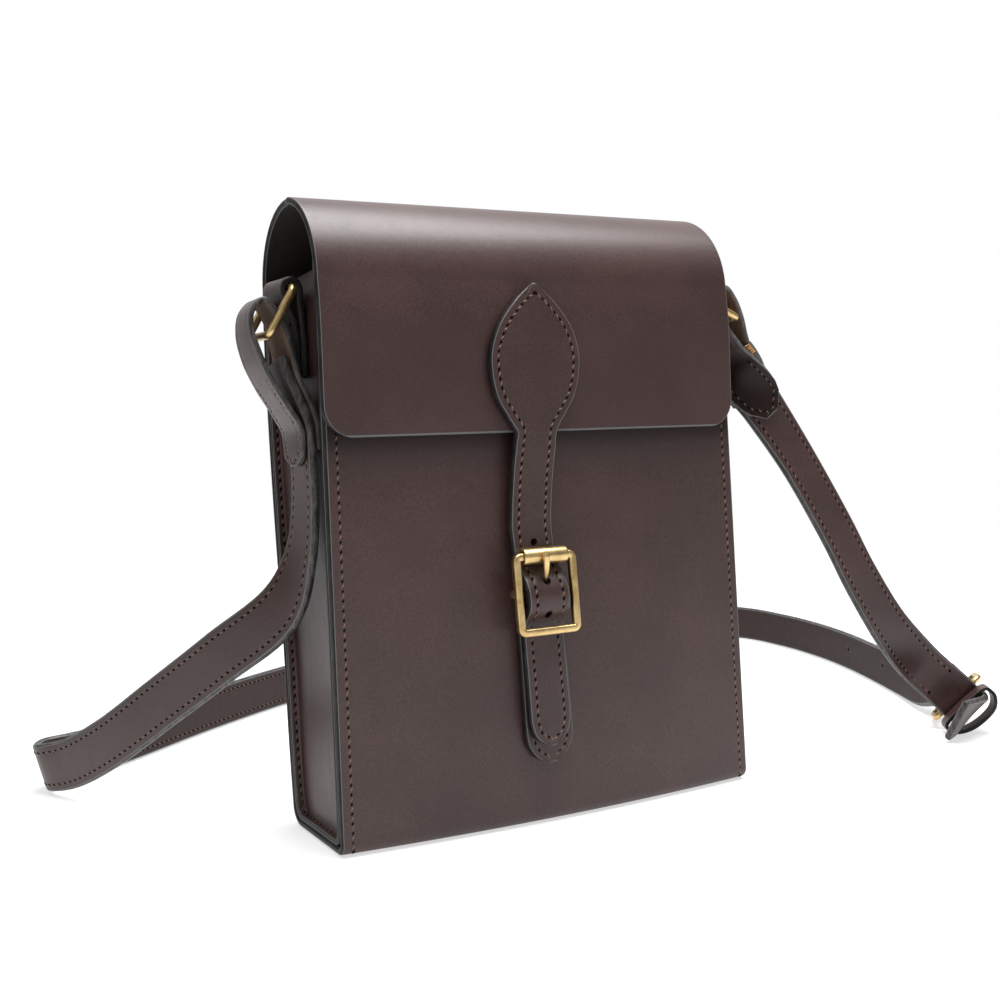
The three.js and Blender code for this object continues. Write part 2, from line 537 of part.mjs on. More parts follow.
function strapLoopRight() {
  const spine = stationsAlong(SHORT_ROUTE.map((row) => ({ ...row, half: STRAP_HALF, thick: LOOP })), 4);
  const leg = (step, side, half) => {
    const { centre, out, across } = spine[step];
    const shift = side * (STRAP / 2 + GAP + LOOP / 2);
    const moved = centre.clone().addScaledVector(out, shift);
    return { centre: moved, out: out.clone().multiplyScalar(-side), across, half, thick: LOOP };
  };
  const rowOf = ({ centre, across }) => {
    const place = { x: centre.x, y: centre.y, z: centre.z };
    return { ...place, ax: across.x, ay: across.y, az: across.z, half: STRAP_HALF, thick: LOOP };
  };
  const inner = [leg(13, 1, 4), leg(12, 1, 10)];
  const outer = [];
  for (let step = 0; step <= 10; step++) {
    inner.splice(2, 0, leg(step, 1, STRAP_HALF));
    outer.push(leg(step, -1, STRAP_HALF));
  }
  const fold = RIGHT_FOLD.map((row) => ({ ...row, ax: 0, ay: -1, az: 0, half: STRAP_HALF, thick: LOOP }));
  const turn = stationsAlong([rowOf(inner.at(-1)), ...fold, rowOf(outer[0])], 2).slice(1, -1);
  return band([...inner, ...turn, ...outer, leg(11, -1, 8)]);
}

function strapBuckleBasis(s) {
  return new THREE.Matrix4().makeBasis(ACROSS, OUT, ALONG).setPosition(atStrapBuckle(s, 0, 0));
}

function strapBuckleFrame() {
  const { halfWidth, length, rise } = STRAP_BUCKLE;
  const flat = roundedRectangle(at(length / 2, 0, 0), at(0, 1, 0), at(1, 0, 0), halfWidth, length / 2, 3);
  const points = flat.map((point) => atStrapBuckle(point.x, point.y, rise * point.x / length));
  return wireLoop(points, STRAP_BUCKLE.wire);
}

const STRAP_PRONG = [
  { s: 1.8, n: -2.2 }, { s: -1, n: -2.6 }, { s: -2.8, n: 0 }, { s: -1, n: 2.6 }, { s: 2.4, n: 3.3 },
  { s: 8, n: 4.9 }, { s: 14.5, n: 6.8 }, { s: 19.5, n: 7.2 }, { s: 22.2, n: 7 },
];

function strapProngWire(radius) {
  return wire(STRAP_PRONG.map((row) => atStrapBuckle(row.s, 0, row.n)), radius, 26);
}

// Keeper seen along the strap: w across, n out, along its middle layer.
const KEEPER_LOOP = [
  { w: -13.6, n: 2 }, { w: -14.2, n: 4.4 }, { w: -13, n: 7.4 }, { w: -7, n: 11.3 },
  { w: 2, n: 12.8 }, { w: 9, n: 11.8 }, { w: 13, n: 7.8 }, { w: 13.4, n: 4.6 },
  { w: 12.6, n: 2.2 }, { w: 6, n: 1.2 }, { w: -6, n: 0.9 },
];

function strapKeeper() {
  const points = KEEPER_LOOP.map((row) => at(row.w, row.n, 0));
  const curve = new THREE.CatmullRomCurve3(points, true, "centripetal");
  const outline = (shift) => Array.from({ length: 36 }, (_, k) => {
    const tangent = curve.getTangent(k / 36);
    const point = curve.getPoint(k / 36);
    return new THREE.Vector2(point.x - shift * tangent.y, point.y + shift * tangent.x);
  });
  const prism = (shift, depth) => {
    return new THREE.ExtrudeGeometry(new THREE.Shape(outline(shift)), { depth, bevelEnabled: false });
  };
  const loop = cut(prism(KEEPER / 2, 8), prism(-KEEPER / 2, 10).translate(0, 0, -1));
  return loop.applyMatrix4(strapBuckleBasis(-14));
}

const group = new THREE.Group();

function addPart(name, geometry, look) {
  const mesh = new THREE.Mesh(geometry, new THREE.MeshStandardMaterial(look));
  mesh.name = name;
  group.add(mesh);
}

addPart("body_wrap", bodyWrap(), leather);
addPart("gusset_left", gusset(-1), leather);
addPart("gusset_right", gusset(1), leather);
addPart("ring_tab_left", ringTab(-1, LEFT_RING_Y), leather);
addPart("ring_tab_right", ringTab(1, RIGHT_RING_Y), leather);
addPart("ring_left", ring(-1, -109.4, LEFT_RING_Y, 193.8), brass);
addPart("ring_right", ring(1, 107.2, RIGHT_RING_Y, 203), brass);
addPart("closure_strap", closureStrap(), leather);
addPart("buckle_chape", buckleChape(), leather);
addPart("buckle_frame", buckleFrame(), brass);
addPart("buckle_roller", buckleRoller(), brass);
addPart("buckle_prong", frontProngWire(PRONG_WIRE), brass);
addPart("strap_loop_left", strapLoopLeft(), leather);
addPart("strap_loop_right", strapLoopRight(), leather);
addPart("strap_long", strapLong(), leather);
addPart("strap_short", strapShort(), leather);
addPart("strap_buckle_frame", strapBuckleFrame(), brass);
addPart("strap_buckle_prong", strapProngWire(1), brass);
addPart("strap_keeper", strapKeeper(), leather);

export default group;
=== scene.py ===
import math

import bmesh
import bpy
import numpy as np
from mathutils import Matrix, Vector


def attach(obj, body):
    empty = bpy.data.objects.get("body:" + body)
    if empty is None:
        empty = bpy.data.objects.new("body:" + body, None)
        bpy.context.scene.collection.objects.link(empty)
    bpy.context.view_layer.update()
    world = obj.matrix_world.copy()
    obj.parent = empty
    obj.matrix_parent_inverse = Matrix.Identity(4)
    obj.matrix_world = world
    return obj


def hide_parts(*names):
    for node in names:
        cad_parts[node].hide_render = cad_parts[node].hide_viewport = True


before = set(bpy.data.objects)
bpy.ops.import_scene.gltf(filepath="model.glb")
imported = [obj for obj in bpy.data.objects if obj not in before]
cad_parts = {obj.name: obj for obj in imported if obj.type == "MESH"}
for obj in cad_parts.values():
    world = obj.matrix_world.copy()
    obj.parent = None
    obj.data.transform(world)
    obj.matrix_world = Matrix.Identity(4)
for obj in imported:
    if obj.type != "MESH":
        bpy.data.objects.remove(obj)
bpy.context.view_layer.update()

scene = bpy.context.scene
print("frame loaded")

# all shapes are worked out in millimetres and become metres as their meshes are made

mm = 0.001
sharpAngle = 46
leastHalf = 0.7


def unit(vectors):
    return vectors / np.maximum(np.linalg.norm(vectors, axis=-1, keepdims=True), 1e-9)


def routeCurve(points, count, power=0.5):
    # smooth curve through the points; power 0.5 keeps tight turns round, 0 spaces them evenly
    points = np.asarray(points, float)
    last = len(points) - 1
    padded = np.vstack([2 * points[0] - points[1], points, 2 * points[-1] - points[-2]])
    place = np.linspace(0, last, count)
    row = np.minimum(place.astype(int), last - 1)
    w = (place - row)[:, None]
    p = [padded[row + k] for k in range(4)]
    d = [np.maximum(np.linalg.norm(p[k + 1] - p[k], axis=1, keepdims=True), 1e-6) ** power for k in range(3)]
    leave = ((p[1] - p[0]) / d[0] - (p[2] - p[0]) / (d[0] + d[1]) + (p[2] - p[1]) / d[1]) * d[1]
    arrive = ((p[2] - p[1]) / d[1] - (p[3] - p[1]) / (d[1] + d[2]) + (p[3] - p[2]) / d[2]) * d[1]
    square = 3 * (p[2] - p[1]) - 2 * leave - arrive
    cube = 2 * (p[1] - p[2]) + leave + arrive
    where = p[1] + leave * w + square * w**2 + cube * w**3
    return where, unit(leave + 2 * square * w + 3 * cube * w**2)


def stationsAlong(route, steps, half, thick):
    # route columns: x, y, z and the across direction x, y, z
    route = np.asarray(route, float)
    count = (len(route) - 1) * steps + 1
    centre, along = routeCurve(route[:, :3], count)
    side = routeCurve(route[:, 3:6], count, 0)[0]
    out = unit(np.cross(along, side))
    sizes = np.column_stack([np.broadcast_to(half, len(route)), np.broadcast_to(thick, len(route))])
    half, thick = routeCurve(sizes, count, 0)[0].T
    across = unit(np.cross(out, along))
    return dict(centre=centre, out=out, across=across, half=np.maximum(half, leastHalf), thick=thick)


def part(stations, rows):
    return {key: value[rows] for key, value in stations.items()}


def joined(*runs):
    return {key: np.concatenate([run[key] for run in runs]) for key in runs[0]}


cutEnd = dict(reach=0.7, most=0.4, thin=0.6, narrow=0.4)


def softEnds(stations):
    # one more station close to each end, so that the cut end gets a rounded rim
    def between(a, b):
        step = np.linalg.norm(stations["centre"][b] - stations["centre"][a])
        share = min(cutEnd["most"], cutEnd["reach"] / step)
        return {key: (value[a] * (1 - share) + value[b] * share)[None] for key, value in stations.items()}
    last = len(stations["half"]) - 1
    run = joined(part(stations, slice(0, 1)), between(0, 1), part(stations, slice(1, last)),
                 between(last, last - 1), part(stations, slice(last, last + 1)))
    for end in (0, -1):
        run["thick"][end] *= cutEnd["thin"]
        run["half"][end] = max(run["half"][end] - cutEnd["narrow"], cutEnd["narrow"])
    return run


def placed(name, data):
    obj = bpy.data.objects.new(name, data)
    scene.collection.objects.link(obj)
    return obj


def fill(layer, key, data):
    layer.foreach_set(key, np.asarray(data, np.float32).ravel())


def newObject(name, points, faces, look, values=None, uv=None, sharp=sharpAngle):
    # a smooth mesh whose faces look outward
    triangles = np.array([(f[0], f[k], f[k + 1]) for f in faces for k in range(1, len(f) - 1)])
    corner = points[triangles]
    if np.einsum("ij,ij->i", corner[:, 0], np.cross(corner[:, 1], corner[:, 2])).sum() < 0:
        faces = [face[::-1] for face in faces]
    mesh = bpy.data.meshes.new(name)
    mesh.from_pydata((points * mm).tolist(), [], faces)
    for key, data in (values or {}).items():
        fill(mesh.attributes.new(key, "FLOAT", "POINT").data, "value", data)
    if uv is not None:
        corners = np.empty(len(mesh.loops), np.int32)
        mesh.loops.foreach_get("vertex_index", corners)
        fill(mesh.uv_layers.new(name="surface").data, "uv", uv[corners] * mm)
    mesh.materials.append(look)
    mesh.shade_smooth()
    mesh.set_sharp_from_angle(angle=math.radians(sharp))
    return placed(name, mesh)


def gridFaces(rows, columns, ring):
    # quads over rows of points that close round; a ring joins its last row to the first, else caps end it
    index = np.arange(rows * columns).reshape(rows, columns)
    low, high = (index, np.roll(index, -1, axis=0)) if ring else (index[:-1], index[1:])
    faces = np.stack([low, np.roll(low, -1, 1), np.roll(high, -1, 1), high], axis=-1).reshape(-1, 4).tolist()
    return faces if ring else faces + [index[0][::-1].tolist(), index[-1].tolist()]


strip = dict(
    inset=3.6, middle=4, crown=0.1, groove=0.14, grooveWidth=0.45, grooveSteps=(-0.9, -0.4, 0, 0.4, 0.9),
    rim=0.36, rimStep=0.5, edgeTurn=(63, 36, 12, -12, -36, -63), fullHalf=9, lip=0.6, flesh=(), fleshFrom=0)


def bandObject(name, stations, look, band, ring=False, push=None):
    # a strip of leather: two faces with a shallow stitch groove, and domed edges
    band = dict(strip, **band)
    stations = stations if ring else softEnds(stations)
    half, thick = stations["half"][:, None], stations["thick"][:, None]
    scale = np.minimum(1, half / band["fullHalf"])
    inset, rim = band["inset"], band["rim"] * thick
    near = [rim, rim + band["rimStep"], *(inset + step for step in band["grooveSteps"])]
    edge = np.hstack([half - scale * value for value in near])
    middle = edge[:, -1:] * np.linspace(1, -1, band["middle"] + 2)[1:-1][None]
    x = np.hstack([-edge, -middle, edge[:, ::-1]])
    height = thick / 2 + band["crown"] * scale * (1 - (x / half) ** 2)
    groove = band["groove"] * np.exp(-(((half - np.abs(x)) / scale - inset) / band["grooveWidth"]) ** 2)
    angle = np.radians(band["edgeTurn"])[None]
    rimX = half - scale * rim * (1 - np.cos(angle))
    rimN = thick / 2 * np.sin(angle)
    across = np.hstack([x, rimX, x[:, ::-1], -rimX[:, ::-1]])
    lift = np.hstack([height - groove, rimN, -(height - groove)[:, ::-1], rimN[:, ::-1]])
    points = stations["centre"][:, None] + across[..., None] * stations["across"][:, None]
    points = points + lift[..., None] * stations["out"][:, None]
    if push is not None:
        points = points + push(across, stations)
    size = across.shape
    side = np.repeat([1, 0, -1, 0], [x.shape[1], angle.shape[1]] * 2)
    isEdge, isFlesh = np.zeros(size) + (side == 0), np.zeros(size)
    isFlesh[band["fleshFrom"]:] = np.isin(side, band["flesh"])
    length = np.concatenate([[0], np.cumsum(np.linalg.norm(np.diff(stations["centre"], axis=0), axis=1))])
    if not ring:
        toEnd = np.minimum(length, length[-1] - length)[:, None]
        isEdge = np.maximum(isEdge, np.clip(1 - toEnd / band["lip"], 0, 1))
    uv = np.dstack([np.broadcast_to(length[:, None], size), across])
    paintedShade = stations.get("paintedShade", np.zeros(size[0]))
    values = dict(edge=isEdge, flesh=isFlesh, paintedShade=np.broadcast_to(paintedShade[:, None], size))
    return newObject(name, points.reshape(-1, 3), gridFaces(*size, ring), look, values, uv.reshape(-1, 2))


def tubeObject(name, points, radius, look, ring=False, sides=18, up=(0.31, 0.45, 0.84), square=1.0):
    # wire through its points; a low square gives it flat faces, set by the direction up
    radius = np.broadcast_to(radius, len(points))
    along = unit(np.roll(points, -1, 0) - np.roll(points, 1, 0) if ring else np.gradient(points, axis=0))
    side = unit(np.cross(along, up))
    top = np.cross(side, along)
    turn = np.linspace(0, 2 * np.pi, sides, endpoint=False)
    a, b = (np.sign(wave) * np.abs(wave) ** square for wave in (np.cos(turn), np.sin(turn)))
    rings = points[:, None] + radius[:, None, None] * (
        a[None, :, None] * side[:, None] + b[None, :, None] * top[:, None])
    return newObject(name, rings.reshape(-1, 3), gridFaces(len(points), sides, ring), look, sharp=60)


def roundedFrame(halfAcross, halfAlong, radius, arcSteps=8, spacing=1.2):
    # outline of a rounded rectangle as across, along
    points = []
    for sx, sy, start in ((1, 1, 0), (-1, 1, 1), (-1, -1, 2), (1, -1, 3)):
        middle = np.array([sx * (halfAcross - radius), sy * (halfAlong - radius)])
        for k in range(arcSteps + 1):
            angle = (start + k / arcSteps) * math.pi / 2
            points.append(middle + radius * np.array([math.cos(angle), math.sin(angle)]))
    full = []
    for a, b in zip(points, points[1:] + points[:1]):
        pieces = max(1, round(np.linalg.norm(b - a) / spacing))
        full += [a + (b - a) * k / pieces for k in range(pieces)]
    return np.array(full)


def applied(obj, modifier):
    # keeps what the modifier makes as the object's mesh
    bpy.context.view_layer.update()
    result = bpy.data.meshes.new_from_object(obj.evaluated_get(bpy.context.evaluated_depsgraph_get()))
    obj.modifiers.remove(modifier)
    obj.data = result


def drilled(obj, *cutters):
    # a cutter is a matrix with the radius and depth of a round hole, or with the three sizes of a slot
    for matrix, size in cutters:
        mesh = bpy.data.meshes.new("cutter")
        work = bmesh.new()
        if len(size) == 2:
            radius, depth = size
            bmesh.ops.create_cone(work, cap_ends=True, segments=20, depth=depth,
                                  radius1=radius, radius2=radius)
        else:
            bmesh.ops.create_cube(work, size=1)
            bmesh.ops.scale(work, vec=size, verts=work.verts)
        bmesh.ops.transform(work, matrix=matrix, verts=work.verts)
        bmesh.ops.scale(work, vec=(mm, mm, mm), verts=work.verts)
        work.to_mesh(mesh)
        work.free()
        cutter = placed("cutter", mesh)
        cut = obj.modifiers.new("hole", "BOOLEAN")
        cut.operation, cut.solver, cut.object = "DIFFERENCE", "EXACT", cutter
        applied(obj, cut)
        bpy.data.objects.remove(cutter)
    obj.data.set_sharp_from_angle(angle=math.radians(sharpAngle))


def standsFor(obj, slotName, *nodes):
    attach(obj, "root")
    if nodes:
        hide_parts(*nodes)
    return obj


# finishes


def feed(tree, node, inputs):
    # links sockets to the node's inputs and sets plain values
    for key, value in inputs.items():
        if isinstance(value, bpy.types.NodeSocket):
            tree.links.new(value, node.inputs[key])
        else:
            node.inputs[key].default_value = value
    return node


def addNode(tree, kind, inputs=(), **settings):
    node = tree.nodes.new(kind)
    for key, value in settings.items():
        setattr(node, key, value)
    return feed(tree, node, dict(inputs))


def madeBy(tree, kind, inputs=(), **settings):
    # first output of a new node
    return addNode(tree, kind, inputs, **settings).outputs[0]


def newLook(name):
    look = bpy.data.materials.new(name)
    look.use_nodes = True
    return look, look.node_tree, look.node_tree.nodes["Principled BSDF"]


def noiseOn(tree, scale, detail, roughness=0.55, stretch=None):
    source = addNode(tree, "ShaderNodeTexCoord").outputs["Object"]
    if stretch:
        source = madeBy(tree, "ShaderNodeMapping", dict(Vector=source, Scale=stretch))
    inputs = dict(Vector=source, Scale=scale, Detail=detail, Roughness=roughness)
    return madeBy(tree, "ShaderNodeTexNoise", inputs)


def rampOn(tree, source, *stops):
    # stops are places with a colour or a grey value
    ramp = addNode(tree, "ShaderNodeValToRGB", dict(Fac=source))
    elements = ramp.color_ramp.elements
    while len(elements) < len(stops):
        elements.new(0.5)
    for element, (place, colour) in zip(elements, stops):
        element.position = place
        element.color = (*(colour if isinstance(colour, tuple) else (colour,) * 3), 1)
    return ramp.outputs["Color"]


def mixOn(tree, factor, a, b, blend="MIX"):
    inputs = {key: (*value, 1) if isinstance(value, tuple) else value for key, value in ((6, a), (7, b))}
    inputs["Factor"] = factor
    return addNode(tree, "ShaderNodeMix", inputs, data_type="RGBA", blend_type=blend).outputs[2]


def mathOn(tree, kind, a, b):
    return madeBy(tree, "ShaderNodeMath", {0: a, 1: b}, operation=kind)


def bumpOn(tree, height, strength, depth):
    return madeBy(tree, "ShaderNodeBump", dict(Height=height, Strength=strength, Distance=depth))


grain = dict(cloud=26, pores=1500, scuffs=420, streaks=620, poreShare=0.8, fleshRough=(0.92,) * 3,
             edgeRough=(0.44,) * 3, sheen=0.42, paintedRimHighlight=0.75, coatRough=0.34, depth=0.0003)


def leatherLook(name, tones):
    # waxed smooth leather: cloudy dye, fine pores, burnished dark edges, fuzzy brown flesh side; also a
    # painted highlight along the edges' rims, and painted shade where a point attribute asks for it
    look, tree, shader = newLook(name)
    cloud = noiseOn(tree, grain["cloud"], 4)
    pores = noiseOn(tree, grain["pores"], 3, 0.6)
    scuffs = noiseOn(tree, grain["scuffs"], 5, 0.7, (1, 1, 0.35))
    streaks = noiseOn(tree, grain["streaks"], 4, 0.62, (1, 1, 0.025))
    edge, flesh, paintedShade = (addNode(tree, "ShaderNodeAttribute", attribute_name=value).outputs["Fac"]
                        for value in ("edge", "flesh", "paintedShade"))
    dye = rampOn(tree, cloud, (0.34, tones["deep"]), (0.68, tones["worn"]))
    speck = rampOn(tree, pores, (0.32, 0.5), (0.58, 1.08))
    dye = mixOn(tree, grain["poreShare"], dye, speck, "MULTIPLY")
    # vertical streaks in the side walls' dye, drawn toward the same dark colour as the painted shade
    drawn = rampOn(tree, streaks, (0.5, 0.0), (0.7, tones["streak"]))
    dye = mixOn(tree, drawn, dye, tones["paintedShade"])
    fuzz = rampOn(tree, scuffs, (0.3, tones["fleshDark"]), (0.7, tones["flesh"]))
    rim = rampOn(tree, scuffs, (0.42, tones["edge"]), (0.74, tones["edgeWorn"]))
    # painted highlight: a light line along the rim between face and edge
    paintedRimHighlight = rampOn(tree, edge, (0.05, 0.0), (0.3, grain["paintedRimHighlight"]), (0.7, grain["paintedRimHighlight"]), (0.97, 0.0))
    # painted shade: the dye turns dark where the shade attribute is set
    colour = mixOn(tree, flesh, mixOn(tree, paintedShade, dye, tones["paintedShade"]), fuzz)
    colour = mixOn(tree, edge, colour, rim)
    colour = mixOn(tree, paintedRimHighlight, colour, tones["paintedRimHighlight"])
    gloss = rampOn(tree, scuffs, (0.2, tones["rough"] - 0.05), (0.8, tones["rough"] + 0.07))
    gloss = mixOn(tree, flesh, gloss, grain["fleshRough"])
    gloss = mixOn(tree, edge, gloss, grain["edgeRough"])
    # painted shade and burnished edges both lower the sheen
    dull = mathOn(tree, "MAXIMUM", paintedShade, edge)
    sheen = rampOn(tree, dull, (0.5, grain["sheen"]), (1.0, tones["edgeSheen"]))
    height = mathOn(tree, "ADD", mathOn(tree, "MULTIPLY", pores, 0.5), mathOn(tree, "MULTIPLY", scuffs, 0.8))
    feed(tree, shader, {
        "Base Color": colour, "Roughness": gloss, "Specular IOR Level": sheen, "Coat Weight": tones["coat"],
        "Coat Roughness": grain["coatRough"], "Normal": bumpOn(tree, height, tones["bump"], grain["depth"])})
    return look


bodyTones = dict(
    # dye tones; the darkest one here is the colour of the painted shade and of the side walls' streaks
    deep=(0.040, 0.0195, 0.018), worn=(0.055, 0.027, 0.0248), paintedShade=(0.011, 0.0045, 0.004), streak=0.0,
    # the light grey here is the colour of the painted highlight along the rims
    edge=(0.007, 0.006, 0.006), edgeWorn=(0.03, 0.027, 0.026), edgeSheen=0.16, paintedRimHighlight=(0.14, 0.142, 0.142),
    # near-black flesh: a dark flesh tone that also paints the shade inside the flap and the bag
    flesh=(0.02, 0.013, 0.011), fleshDark=(0.010, 0.007, 0.006), rough=0.4, coat=0.06, bump=0.24)
strapTones = dict(bodyTones, deep=(0.037, 0.0185, 0.0172), worn=(0.053, 0.0265, 0.0245), bump=0.28,
                  flesh=(0.2, 0.12, 0.075), fleshDark=(0.11, 0.064, 0.04))
looseTones = dict(strapTones, edge=(0.016, 0.015, 0.015), edgeWorn=(0.09, 0.086, 0.083), edgeSheen=0.42)
tongueTones = dict(looseTones, flesh=(0.036, 0.022, 0.02), fleshDark=(0.026, 0.0155, 0.014),
                   edgeWorn=(0.12, 0.115, 0.11))
# painted highlight: the right end piece's edges are light grey by colour, with little sheen
paintedEdgeHighlightTones = dict(looseTones, edge=(0.075, 0.073, 0.072), edgeWorn=(0.17, 0.166, 0.163), edgeSheen=0.1)
bodyLook = leatherLook("bridleLeather", bodyTones)
wallLook = leatherLook("wallLeather", dict(bodyTones, streak=0.75))
strapLook = leatherLook("strapLeather", strapTones)
looseLook = leatherLook("looseLeather", looseTones)
tongueLook = leatherLook("tongueLeather", tongueTones)
paintedEdgeHighlightLook = leatherLook("paintedEdgeHighlightLeather", paintedEdgeHighlightTones)

brass = dict(bloom=160, dark=(0.43, 0.29, 0.12), mid=(0.65, 0.47, 0.22), light=(0.75, 0.57, 0.30),
             brushed=900, smooth=0.26, rough=0.42, bump=0.12, depth=0.0002)


def brassLook():
    # satin brass with brushed lines and a brown bloom in places
    look, tree, shader = newLook("satinBrass")
    bloom = noiseOn(tree, brass["bloom"], 4)
    brushed = noiseOn(tree, brass["brushed"], 3, 0.6, (1, 1, 0.08))
    feed(tree, shader, {
        "Base Color": rampOn(tree, bloom, (0.3, brass["dark"]), (0.5, brass["mid"]), (0.75, brass["light"])),
        "Roughness": rampOn(tree, brushed, (0.25, brass["smooth"]), (0.8, brass["rough"])), "Metallic": 1,
        "Normal": bumpOn(tree, brushed, brass["bump"], brass["depth"])})
    return look


def plainLook(name, dark, light, scale, rough, more=()):
    look, tree, shader = newLook(name)
    colour = rampOn(tree, noiseOn(tree, scale, 3), (0.3, dark), (0.7, light))
    feed(tree, shader, {"Base Color": colour, "Roughness": rough, **dict(more)})
    return look


brassFinish = brassLook()
threadFinish = plainLook("waxedThread", (0.07, 0.033, 0.022), (0.27, 0.14, 0.09), 1800, 0.55)
whipFinish = plainLook("orangeThread", (0.2, 0.08, 0.02), (0.5, 0.24, 0.07), 1800, 0.55)
# painted shade: the awl holes are near-black marks with almost no sheen
holeShadeFinish = plainLook("paintedHoleShade", (0.002, 0.0015, 0.0015), (0.005, 0.004, 0.004), 900, 1.0,
                       {"Specular IOR Level": 0.05})
print("finishes made")


# stitches: a tree of nodes lays thread and awl holes along rows of points; the holes are near-black marks,
# painted shade

stitch = dict(pitch=3.7, thread=2.0, threadRadius=0.31, hole=0.56, slant=-33, seed=7)
stitchLengths = ("pitch", "thread", "threadRadius", "hole")
awl = dict(sway=0.07, longer=1.55, flatter=0.3)


def stitchTree():
    tree = bpy.data.node_groups.new("stitchRows", "GeometryNodeTree")
    measures = [(label, "INPUT", "Float") for label in (*stitchLengths, "slant")]
    for label, way, kind in (("rows", "INPUT", "Geometry"), *measures, ("seed", "INPUT", "Int"),
                             ("stitches", "OUTPUT", "Geometry")):
        tree.interface.new_socket(label, in_out=way, socket_type="NodeSocket" + kind)
    given = addNode(tree, "NodeGroupInput").outputs

    def times(label, factor):
        return mathOn(tree, "MULTIPLY", given[label], factor)

    def ball(radii, segments, rings):
        sphere = madeBy(tree, "GeometryNodeMeshUVSphere", dict(Segments=segments, Rings=rings, Radius=1))
        size = madeBy(tree, "ShaderNodeCombineXYZ", dict(zip("XYZ", radii)))
        return madeBy(tree, "GeometryNodeTransform", dict(Geometry=sphere, Scale=size))

    rows = madeBy(tree, "GeometryNodeMeshToCurve", dict(Mesh=given["rows"]))
    spaced = madeBy(tree, "GeometryNodeResampleCurve", dict(Curve=rows, Length=given["pitch"]), mode="LENGTH")
    normal = madeBy(tree, "GeometryNodeInputNamedAttribute", dict(Name="faceOut"), data_type="FLOAT_VECTOR")
    tangent = madeBy(tree, "GeometryNodeInputTangent")
    axes = {"Primary Axis": normal, "Secondary Axis": tangent}
    facing = madeBy(tree, "FunctionNodeAxesToRotation", axes, primary_axis="Z", secondary_axis="X")
    sway = addNode(tree, "FunctionNodeRandomValue", dict(Seed=given["seed"]), data_type="FLOAT")
    low, high = [socket for socket in sway.inputs if socket.type == "VALUE"][:2]
    low.default_value, high.default_value = -awl["sway"], awl["sway"]
    swing = [socket for socket in sway.outputs if socket.type == "VALUE"][0]
    turn = madeBy(tree, "ShaderNodeCombineXYZ", dict(Z=mathOn(tree, "ADD", given["slant"], swing)))
    spin = madeBy(tree, "FunctionNodeEulerToRotation", dict(Euler=turn))
    slants = {"Rotation": facing, "Rotate By": spin}
    slanted = madeBy(tree, "FunctionNodeRotateRotation", slants, rotation_space="LOCAL")
    halfStep = {0: tangent, "Scale": times("pitch", 0.5)}
    offset = madeBy(tree, "ShaderNodeVectorMath", halfStep, operation="SCALE")
    shifted = madeBy(tree, "GeometryNodeSetPosition", dict(Geometry=spaced, Offset=offset))
    thread = ball((times("thread", 0.5), given["threadRadius"], given["threadRadius"]), 6, 6)
    hole = ball((times("hole", awl["longer"]), given["hole"], times("hole", awl["flatter"])), 7, 4)
    both = addNode(tree, "GeometryNodeJoinGeometry")
    for places, shape, finish in ((spaced, thread, threadFinish), (shifted, hole, holeShadeFinish)):
        inputs = dict(Points=places, Instance=shape, Rotation=slanted)
        laid = madeBy(tree, "GeometryNodeInstanceOnPoints", inputs)
        real = madeBy(tree, "GeometryNodeRealizeInstances", dict(Geometry=laid))
        dressed = madeBy(tree, "GeometryNodeSetMaterial", dict(Geometry=real, Material=finish))
        feed(tree, both, dict(Geometry=dressed))
    addNode(tree, "NodeGroupOutput", dict(stitches=both.outputs[0]))
    return tree


stitchNodes = stitchTree()


def stitchObject(name, rows, slotName="strap_leather", **change):
    # rows: pairs of points and outward directions, in millimetres
    size = dict(stitch, **change)
    points, facing = (np.vstack([row[k] for row in rows]) for k in (0, 1))
    edges, start = [], 0
    for row in rows:
        edges += [(start + k, start + k + 1) for k in range(len(row[0]) - 1)]
        start += len(row[0])
    mesh = bpy.data.meshes.new(name)
    mesh.from_pydata((points * mm).tolist(), edges, [])
    fill(mesh.attributes.new("faceOut", "FLOAT_VECTOR", "POINT").data, "vector", facing)
    obj = placed(name, mesh)
    laid = obj.modifiers.new("stitches", "NODES")
    laid.node_group = stitchNodes
    size.update({key: size[key] * mm for key in stitchLengths}, slant=math.radians(size["slant"]))
    for socket in stitchNodes.interface.items_tree:
        if socket.name in size:
            laid[socket.identifier] = size[socket.name]
    applied(obj, laid)
    obj.data.shade_smooth()
    standsFor(obj, slotName)


def rowOn(stations, side, face, inset=3.6, rows=slice(None), sink=0.1, crown=0.1):
    # one row of stitches along an edge of a strip, kept at the same distance from a tapering edge
    run = part(stations, rows)
    step = np.linalg.norm(np.gradient(run["centre"], axis=0), axis=1)
    slope = np.gradient(run["half"]) / np.maximum(step, 1e-6)
    x = run["half"] - inset * np.sqrt(1 + slope**2)
    keep = x > 0.4
    lift = run["thick"] / 2 + crown * (1 - (x / run["half"]) ** 2) - sink
    points = run["centre"] + (side * x)[:, None] * run["across"] + (face * lift)[:, None] * run["out"]
    return points[keep], (face * run["out"])[keep]


def edgeRows(stations, faces, *where, **more):
    # rows along both edges of a strip, on the faces that are named
    return [rowOn(stations, side, face, *where, **more) for side in (-1, 1) for face in faces]


# bag body: one strip of leather round front, bottom, back, arched top and flap

